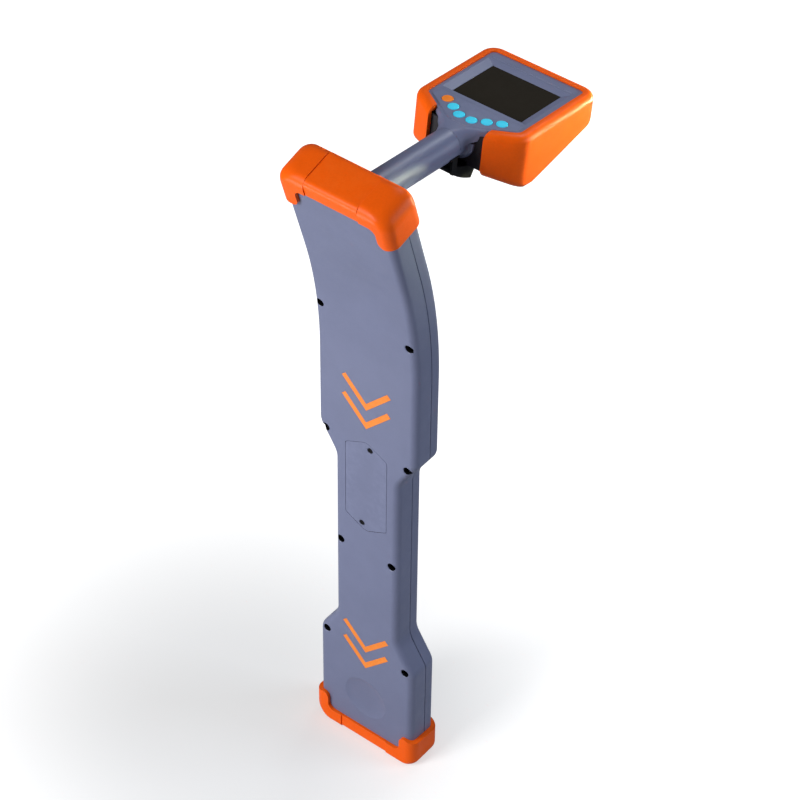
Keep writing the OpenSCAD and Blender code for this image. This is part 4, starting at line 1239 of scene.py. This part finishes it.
@dataclass
class Head:
    """The display head: housing, panel, bumper and screen."""

    handle: Handle
    width: float = 116.0
    far: float = 227.0
    near: float = 103.0
    far_r: float = 15.0
    near_r: float = 17.0
    slope: float = 33.0
    gap: float = 28.7
    near_drop: float = 38.5
    low_drop: float = 54.0
    low_y: float = 131.0
    lip_near: float = 4.0
    open_near: float = 6.0
    mouth: float = 9.0
    far_drop: float = 27.0
    bumper_t: float = 3.2
    end_t: float = 5.0
    rim: float = 9.5
    edge: float = 6.5
    panel_t: float = 3.2
    screen_half: float = 35.9
    screen_y: float = 140.0
    screen_len: float = 59.2
    bevel_deep: float = 2.0
    bevel_left: float = 9.0
    bevel_right: float = 6.5
    bevel_far: float = 5.4
    bevel_near: float = 1.2
    pad_up: float = 0.4
    pad_edge: float = 0.3
    rim_up: float = 1.6
    fit: float = 0.1
    window_fit: float = 0.2
    window_t: float = 1.1
    housing_t: float = 1.8
    key_r: float = 5.1
    key_fit: float = 0.3
    key_pitch: float = 12.9
    key_turn: float = 31.0
    key_row: float = 111.1
    key_dome: float = 0.6
    flange: float = 0.8
    flange_t: float = 0.7
    saddle_len: float = 15.0
    saddle_over: float = 4.0
    saddle_spread: float = 2.4
    saddle_rise: float = 1.6
    saddle_edge: float = 3.0
    saddle_skirt: float = 7.0
    yoke_half: float = 11.9
    yoke_end: float = 125.5
    yoke_top: float = -34.6
    KEYPAD = ((44.7, 133.0), (44.6, 124.6), (43.6, 122.8), (14.0, 103.6), (11.0, 101.9), (6.5, 101.0))
    STRIP = ((42.0, 207.8), (43.6, 208.6), (44.8, 210.6), (44.6, 212.6), (43.2, 214.0), (41.0, 214.6))

    def under(self, y: float) -> float:
        """Height of the underside.

        Args:
            y: Distance from the origin along the handle.

        Returns:
            The height in the head's frame.
        """
        tip = self.near - self.end_t
        rise_near = (self.low_drop - self.near_drop) / (self.low_y - tip)
        rise_far = (self.low_drop - self.far_drop) / (self.far - self.low_y)
        a = -self.low_drop + (self.low_y - y) * rise_near
        b = -self.low_drop + (y - self.low_y) * rise_far
        return (a + b) / 2 + math.sqrt(((a - b) / 2) ** 2 + 2)

    def side(self, inset: float, near: float) -> list[Point]:
        """Right half of the plan outline.

        Args:
            inset: How far inside the outer face.
            near: Place of the flat near end.

        Returns:
            Points from the near to the far end.
        """
        tan_n, cos_n = math.tan(math.radians(self.slope)), cosd(self.slope)
        tip = self.near - self.end_t
        xb = self.width / 2 - self.near_r
        yb = tip + (xb - self.gap) * tan_n + self.near_r / cos_n
        rb, rc = self.near_r - inset, self.far_r - inset
        xc, yc = self.width / 2 - self.far_r, self.far - self.far_r
        xs = self.gap + (near - tip - inset / cos_n) / tan_n
        points = [(xs, near), *arc(xb, yb, rb, self.slope - 90, 0, FINE)]
        points += [(self.width / 2 - inset, yb + (yc - yb) * t) for t in sweep(0, 1, 8)[1:-1]]
        return points + arc(xc, yc, rc, 0, 90, FINE)

    def form(
        self,
        name: str,
        inset: float,
        near: float,
        top: float,
        lift: float,
        r_top: float,
        r_low: float,
        steps: int = 8,
    ) -> bpy.types.Object:
        """Solid between the underside and a flat top.

        Args:
            name: Name of the object.
            inset: How far inside the outer face.
            near: Place of the flat near end.
            top: Height of the top.
            lift: How far above the underside it starts.
            r_top: Rounding of the upper edge.
            r_low: Rounding of the lower edge.
            steps: Steps of each rounding.

        Returns:
            The form.
        """
        rows = []
        for a in sweep(0, 90, steps):
            flat = mirrored(self.side(inset + r_low * (1 - sind(a)), near))
            rows.append([Vector((x, y, self.under(y) + lift + r_low * (1 - cosd(a)))) for x, y in flat])
        flat = mirrored(self.side(inset, near))
        low = lift + r_low
        high = top - r_top
        for t in (0.33, 0.66):
            rows.append([Vector((x, y, (self.under(y) + low) * (1 - t) + high * t)) for x, y in flat])
        for a in sweep(90, 0, steps):
            flat = mirrored(self.side(inset + r_top * (1 - sind(a)), near))
            rows.append([Vector((x, y, top - r_top * (1 - cosd(a)))) for x, y in flat])
        return self._placed(loft(name, rows))

    def _placed(self, form: bpy.types.Object) -> bpy.types.Object:
        """Move a form from the head's frame to its place."""
        form.data.transform(self.handle.frame)
        return form

    def plate(self, name: str, inset: float, near: float, z0: float, z1: float) -> bpy.types.Object:
        """Plate with the head's outline."""
        return prism(name, mirrored(self.side(inset, near)), z0, z1, self.handle.frame)

    def bumper(self, paint: Paint) -> bpy.types.Object:
        """Build the rubber bumper.

        Args:
            paint: Gives the finishes.

        Returns:
            The bumper.
        """
        start = self.near - self.end_t - 6  # the neck's cutter takes this end off
        low, wall, fit = -self.panel_t, self.bumper_t, self.fit
        body = self.form("head_bumper_look", 0.0, start, self.rim_up, 0.0, self.edge, self.edge)
        inside = self.form("inside", wall, self.near, low + fit, wall - fit, fit / 2, fit / 2, 1)
        above = self.plate("above", self.rim, self.near + self.lip_near, low - OVER, 5)
        below = self.plate("below", self.rim, self.near + self.open_near, -self.low_drop - 10, low - 4)
        near_low = Vector((-self.gap, start - 10, -self.low_drop - 5))
        neck = block("neck", near_low, Vector((self.gap, self.near + self.mouth, 5)), self.handle.frame)
        combine(body, [inside, above, below, neck], "DIFFERENCE")
        round_edges(body, 0.8, 3, 50.0)
        return dress(body, paint, "orange_rubber", "locator", ["head_bumper"], 40.0)

    def key_place(self, i: int) -> Point:
        """Place of a key.

        Args:
            i: Number of the key from the left.

        Returns:
            Its centre in the panel.
        """
        steps = 2 - i if i < 3 else i - 3
        side = -1 if i < 3 else 1
        x = side * self.key_pitch * (0.5 + steps * cosd(self.key_turn))
        return x, self.key_row + steps * self.key_pitch * sind(self.key_turn)

    def key_matrix(self, i: int) -> Matrix:
        """Placement of a key."""
        x, y = self.key_place(i)
        return self.handle.frame @ Matrix.Translation((x * MM, y * MM, 0))

    def panel(self, paint: Paint) -> bpy.types.Object:
        """Build the grey panel with the screen's recess and the key holes.

        Args:
            paint: Gives the finishes.

        Returns:
            The panel.
        """
        plate = self.plate("head_panel_look", self.rim + self.fit, self.near + 3.2, -self.panel_t, 0)
        combine(plate, [self.saddle(), self._pad(self.KEYPAD), self._pad(self.STRIP)], "UNION")
        x0, y0 = self.screen_half + self.window_fit, self.screen_y - self.window_fit
        y1 = self.screen_y + self.screen_len + self.window_fit
        corners = Vector((-x0, y0, -self.panel_t - OVER)), Vector((x0, y1, 2 * OVER))
        tube, hole = self.handle.radius + self.fit, self.key_r + self.key_fit
        tools = [
            block("opening", *corners, self.handle.frame),
            self._bevel(x0, y0, y1),
            lathe("tube", [(tube, 60), (tube, self.near)], self.handle.axis, ROUND),
        ]
        tools += [lathe("hole", [(hole, -8), (hole, 3)], self.key_matrix(i), ROUND // 2) for i in range(6)]
        combine(plate, tools, "DIFFERENCE")
        return dress(plate, paint, "shell", "locator", ["head_panel"], 11.0)

    def _bevel(self, x0: float, y0: float, y1: float) -> bpy.types.Object:
        """Cutter for the sloped border of the screen.

        Args:
            x0: Half width of the opening.
            y0: Near edge of the opening.
            y1: Far edge of the opening.

        Returns:
            The cutter.
        """
        left, right = -x0 - self.bevel_left, x0 + self.bevel_right
        near, far = y0 - self.bevel_near, y1 + self.bevel_far
        foot = (x0, -x0, y0, y1)
        rows = []
        for z, (east, west, south, north) in (
            (-self.bevel_deep, foot),
            (0.01, (right, left, near, far)),
            (2 * OVER, (right, left, near, far)),
        ):
            corners = ((east, south), (east, north), (west, north), (west, south))
            rows.append([Vector((x, y, z)) for x, y in corners])
        return self._placed(loft("bevel", rows))

    def _pad(self, right: Sequence[Point]) -> bpy.types.Object:
        """Slightly raised field on the panel."""
        pad = prism("pad", mirrored(right), -OVER, self.pad_up, self.handle.frame)
        return round_edges(pad, self.pad_edge, 2)

    def window(self, paint: Paint) -> bpy.types.Object:
        """Build the dark window at the foot of the sloped border.

        Args:
            paint: Gives the finishes.

        Returns:
            The window.
        """
        top = -self.bevel_deep - self.fit / 2
        low = Vector((-self.screen_half, self.screen_y, top - self.window_t))
        high = Vector((self.screen_half, self.screen_y + self.screen_len, top))
        pane = block("screen_window_look", low, high, self.handle.frame)
        return dress(pane, paint, "window", "locator", ["screen_window"])

    def saddle(self) -> bpy.types.Object:
        """The neck of the panel that narrows to the tube.

        Returns:
            The saddle.
        """
        start, end = self.near - self.saddle_len, self.near + self.saddle_over
        tube, neck, drop = self.handle.radius + self.fit, self.gap - 1.2, self.handle.drop
        rows = []
        for t in sweep(0, 1, 16):
            y = start + (end - start) * t
            half = tube + (neck - tube) * t**self.saddle_spread
            top = tube - drop + (drop - tube - 0.05) * min(1.0, self.saddle_rise * t)
            skirt = self.saddle_skirt * t - drop if y < self.near - self.fit else -self.panel_t - 2
            r = min((1 - t) * (top - skirt) + t * self.saddle_edge, top - skirt - 0.01)
            flat = [(half, skirt), *arc(half - r, top - r, r, 0, 90, 10)]
            rows.append([Vector((x, y, z)) for x, z in mirrored(flat)])
        return self._placed(loft("saddle", rows))

    def housing(self, paint: Paint) -> bpy.types.Object:
        """Build the housing under the panel in near-black charcoal, partly its own dark plastic and partly
        painted shade of its front wall.

        Args:
            paint: Gives the finishes.

        Returns:
            The housing.
        """
        outer, inner, top = self.bumper_t + self.fit, self.bumper_t + self.housing_t, -self.panel_t
        lift = self.housing_t - self.fit
        body = self.form("head_housing_look", outer, self.near, top - 2, self.bumper_t, 0.05, 2.0, 4)
        hollow = self.form("hollow", inner, self.near + lift, top - OVER, self.bumper_t + lift, 0.05, 0.05, 1)
        low = Vector((-self.yoke_half, self.near - 3, -self.low_drop - 5))
        yoke = block("yoke", low, Vector((self.yoke_half, self.yoke_end, self.yoke_top)), self.handle.frame)
        combine(body, [hollow, yoke], "DIFFERENCE")
        # the charcoal is partly painted shade of the front wall, which sits in deep shade
        return dress(body, paint, "charcoal", "locator", ["head_housing"])

    def keys(self, paint: Paint) -> None:
        """Build the six keys, each on its own body.

        Args:
            paint: Gives the finishes.
        """
        r, wide, dome = self.key_r, self.key_r + self.flange, self.key_dome
        low, up = -self.panel_t - 1.0, self.pad_up
        ledge = low + self.flange_t
        profile = [(2.0, low - 0.9), (2.0, low), (wide, low), (wide, ledge), (r, ledge), (r, up)]
        profile += arc(r - dome, up, dome, 0, 90, 5)[1:]
        profile += [(r * 0.5, up + 1.1 * dome), (0.0, up + 0.7)]
        for i, node in enumerate(("power_key", "key_a", "key_b", "key_c", "key_d", "key_e")):
            key = lathe(node + "_look", profile, self.key_matrix(i), 64)
            dress(key, paint, "orange_key" if i == 0 else "cyan_key", node, [node])


@dataclass
class Trigger:
    """The black lever under the handle."""

    handle: Handle
    half: float = 11.5
    pivot_y: float = 82.5
    pivot_z: float = -34.3
    eye: float = 3.0
    reach: float = 35.0
    deep: float = 20.2
    hollow: float = 6.4
    edge: float = 1.6

    def build(self, paint: Paint) -> bpy.types.Object:
        """Build the lever.

        Args:
            paint: Gives the finishes.

        Returns:
            The lever.
        """
        pivot = self.handle.frame @ Matrix.Translation((0, self.pivot_y * MM, self.pivot_z * MM))
        across = Matrix(((0, 0, 1, 0), (1, 0, 0, 0), (0, 1, 0, 0), (0, 0, 0, 1)))
        outline = arc(0, 0, self.eye, 265, 90, 14)
        outline += [(21.0, -4.5), (self.reach - 1, -5.8), (self.reach, -7.0), (self.reach - 0.5, -11.0)]
        end, drop = self.reach - 5.6, self.eye - self.deep
        for t in sweep(1, 0, 14):
            outline.append((-1 + (end + 1) * t, -self.eye + drop * t - self.hollow * t * (1 - t)))
        lever = prism("trigger_look", outline, -self.half, self.half, pivot @ across)
        round_edges(lever, self.edge, 4, 35.0)
        return dress(lever, paint, "black_plastic", "trigger", ["trigger"])


# Studio


@dataclass
class Studio:
    """Floor, lamps, sky and camera."""

    focal: float = 124.7
    sensor: float = 36.0
    place: tuple[float, float, float] = (1.1001, -1.3929, 2.0593)
    yaw: float = 37.77
    pitch: float = 42.54
    roll: float = 0.78
    floor_half: float = 6.0
    # the floor's glow for the camera, low near the foot as painted shade and white further out
    lift: tuple[float, float] = (0.38, 1.0)
    painted_shade_reach: tuple[float, float] = (0.05, 0.5)
    painted_shade_centre: tuple[float, float, float] = (-0.12, -0.1, 0.0)
    shade: tuple[float, float] = (0.52, 0.54)
    sky_light: float = 0.14

    def camera(self) -> bpy.types.Object:
        """Set up the camera at the photo's angle.

        Returns:
            The camera.
        """
        data = bpy.data.cameras.new("camera")
        data.lens = self.focal
        data.sensor_width = self.sensor
        data.clip_end = 50
        cam = bpy.data.objects.new("camera", data)
        bpy.context.scene.collection.objects.link(cam)
        right = Vector((cosd(self.yaw), sind(self.yaw), 0))
        flat = Vector((-sind(self.yaw), cosd(self.yaw), 0))
        view = flat * cosd(self.pitch) - Vector((0, 0, sind(self.pitch)))
        up = flat * sind(self.pitch) + Vector((0, 0, cosd(self.pitch)))
        across = right * cosd(self.roll) + up * sind(self.roll)
        upward = up * cosd(self.roll) - right * sind(self.roll)
        turn = Matrix((across, upward, -view)).transposed().to_4x4()
        cam.matrix_world = Matrix.Translation(self.place) @ turn
        bpy.context.scene.camera = cam
        return cam

    def floor(self) -> bpy.types.Object:
        """Lay the pale floor.

        Returns:
            The floor.
        """
        bm = bmesh.new()
        h = self.floor_half
        bm.faces.new([bm.verts.new(p) for p in ((-h, -h, 0), (h, -h, 0), (h, h, 0), (-h, h, 0))])
        floor = from_bmesh("floor", bm)
        floor.data.materials.append(self.floor_material())
        return floor

    def floor_material(self) -> bpy.types.Material:
        """Pale paper with painted shade: its glow for the camera is weakest near a spot beside the foot, so
        shadows fade out away from the foot.

        Returns:
            The material.
        """
        material = bpy.data.materials.new("floor")
        material.use_nodes = True
        tree = material.node_tree
        shader = tree.nodes["Principled BSDF"]
        shader.inputs["Roughness"].default_value = 0.7
        shader.inputs["Specular IOR Level"].default_value = 0.15
        shader.inputs["Emission Color"].default_value = (1, 1, 1, 1)
        # painted shade: the glow grows with distance from a spot left of the foot
        away = tree.nodes.new("ShaderNodeVectorMath")
        away.operation = "DISTANCE"
        away.inputs[1].default_value = self.painted_shade_centre
        tree.links.new(tree.nodes.new("ShaderNodeTexCoord").outputs["Object"], away.inputs[0])
        grow = remap(tree, away.outputs["Value"], self.painted_shade_reach, self.lift, "SMOOTHSTEP")
        seen = tree.nodes.new("ShaderNodeLightPath").outputs["Is Camera Ray"]
        tree.links.new(multiply(tree, seen, grow), shader.inputs["Emission Strength"])
        noise = tree.nodes.new("ShaderNodeTexNoise")
        noise.inputs["Scale"].default_value = 3.0
        shade = remap(tree, noise.outputs["Fac"], (0.0, 1.0), self.shade)
        tree.links.new(shade, shader.inputs["Base Color"])
        return material

    def sky(self) -> None:
        """White surroundings, softer where they only give light."""
        world = bpy.data.worlds.new("sky")
        bpy.context.scene.world = world
        world.use_nodes = True
        tree = world.node_tree
        tree.nodes.clear()
        out = tree.nodes.new("ShaderNodeOutputWorld")
        path = tree.nodes.new("ShaderNodeLightPath")
        mix = tree.nodes.new("ShaderNodeMixShader")
        tree.links.new(path.outputs["Is Camera Ray"], mix.inputs["Fac"])
        for i, (color, strength) in enumerate((((0.95, 0.97, 1, 1), self.sky_light), ((1, 1, 1, 1), 1.0))):
            glow = tree.nodes.new("ShaderNodeBackground")
            glow.inputs["Color"].default_value = color
            glow.inputs["Strength"].default_value = strength
            tree.links.new(glow.outputs["Background"], mix.inputs[i + 1])
        tree.links.new(mix.outputs["Shader"], out.inputs["Surface"])

    def lamp(
        self,
        kind: Light,
        place: Vector,
        target: Vector,
        size: float,
        power: float,
        tint: tuple[float, float, float] = (1.0, 1.0, 1.0),
        spread: float = 180.0,
    ) -> bpy.types.Object:
        """Add one square area lamp.

        Args:
            kind: Which lamp.
            place: Where it stands.
            target: What it points at.
            size: Side length in metres.
            power: Power in watts.
            tint: Colour.
            spread: Angle of the beam in degrees.

        Returns:
            The lamp.
        """
        data = bpy.data.lights.new(kind.value, "AREA")
        data.shape = "SQUARE"
        data.size = size
        data.energy = power
        data.color = tint
        data.spread = math.radians(spread)
        lamp = bpy.data.objects.new("lamp_" + kind.value, data)
        bpy.context.scene.collection.objects.link(lamp)
        turn = (target - place).to_track_quat("-Z", "Y")
        lamp.matrix_world = Matrix.Translation(place) @ turn.to_matrix().to_4x4()
        lamp.visible_camera = False
        return lamp

    def build(self) -> None:
        """Set up the whole studio."""
        bpy.context.scene.view_settings.view_transform = "Standard"
        self.camera()
        self.floor()
        self.sky()
        middle = Vector((0, 0, 0.35))
        upper = Vector((0, 0, 0.6))
        head = Vector((0, 0.18, 0.7))
        side = Vector((0.058, 0.185, 0.67))
        cool = (0.78, 0.87, 1.0)
        self.lamp(Light.KEY, Vector((-0.4, -1.2, 1.2)), middle, 0.6, 16)
        self.lamp(Light.FILL, Vector((1.9, -0.6, 0.9)), middle, 1.0, 1.5, cool)
        self.lamp(Light.BUMPER, Vector((0.22, 0.52, 0.6)), side, 0.15, 0.3, (1.0, 1.0, 0.6), 30)
        self.lamp(Light.RIM, Vector((-0.05, 0.52, 1.15)), head, 0.3, 0.14, (0.9, 0.95, 1.0), 40)
        self.lamp(Light.SHEEN, Vector((-0.55, -1.0, 0.24)), upper, 0.45, 5.5)
        self.lamp(Light.BACK, Vector((1.45, 0.9, 1.1)), middle, 0.8, 12, cool)


@dataclass
class Locator:
    """The whole object."""

    frame: dict
    paint: Paint = field(default_factory=Paint)

    def dress_nodes(self) -> None:
        """Put the record's finish on every CAD node, hidden ones too."""
        slots = {s["node"]: s["material_slot"] for s in self.frame["record"]["subparts"]}
        slots["trigger_pin"] = slots["cover_screws"] = "black_plastic"  # both look black in the photo
        for name, obj in self.frame["nodes"].items():
            self.paint.on(obj, slots.get(name, "black_plastic"))

    def build(self) -> None:
        """Build every visible piece."""
        self.dress_nodes()
        blade = Blade()
        handle = Handle()
        head = Head(handle)
        steps: list[tuple[str, Callable[[], object]]] = [
            ("shells", lambda: blade.build(self.paint)),
            ("battery cover", lambda: BatteryCover(blade).build(self.paint)),
            ("chevrons", lambda: Chevrons(blade).build(self.paint)),
            ("lower boot", lambda: lower_boot(blade).build(self.paint)),
            ("upper boot", lambda: upper_boot(blade).build(self.paint)),
            ("tube", lambda: handle.build(self.paint)),
            ("bumper", lambda: head.bumper(self.paint)),
            ("panel", lambda: head.panel(self.paint)),
            ("housing", lambda: head.housing(self.paint)),
            ("keys", lambda: head.keys(self.paint)),
            ("window", lambda: head.window(self.paint)),
            ("trigger", lambda: Trigger(handle).build(self.paint)),
        ]
        for name, step in steps:
            step()
            LOG.info("built %s", name)


def main() -> None:
    """Build the object and the studio round it."""
    logging.basicConfig(level=logging.INFO, format="%(message)s")
    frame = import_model()
    Locator(frame).build()
    Studio().build()
    LOG.info("scene ready")


if __name__ == "__main__":
    main()
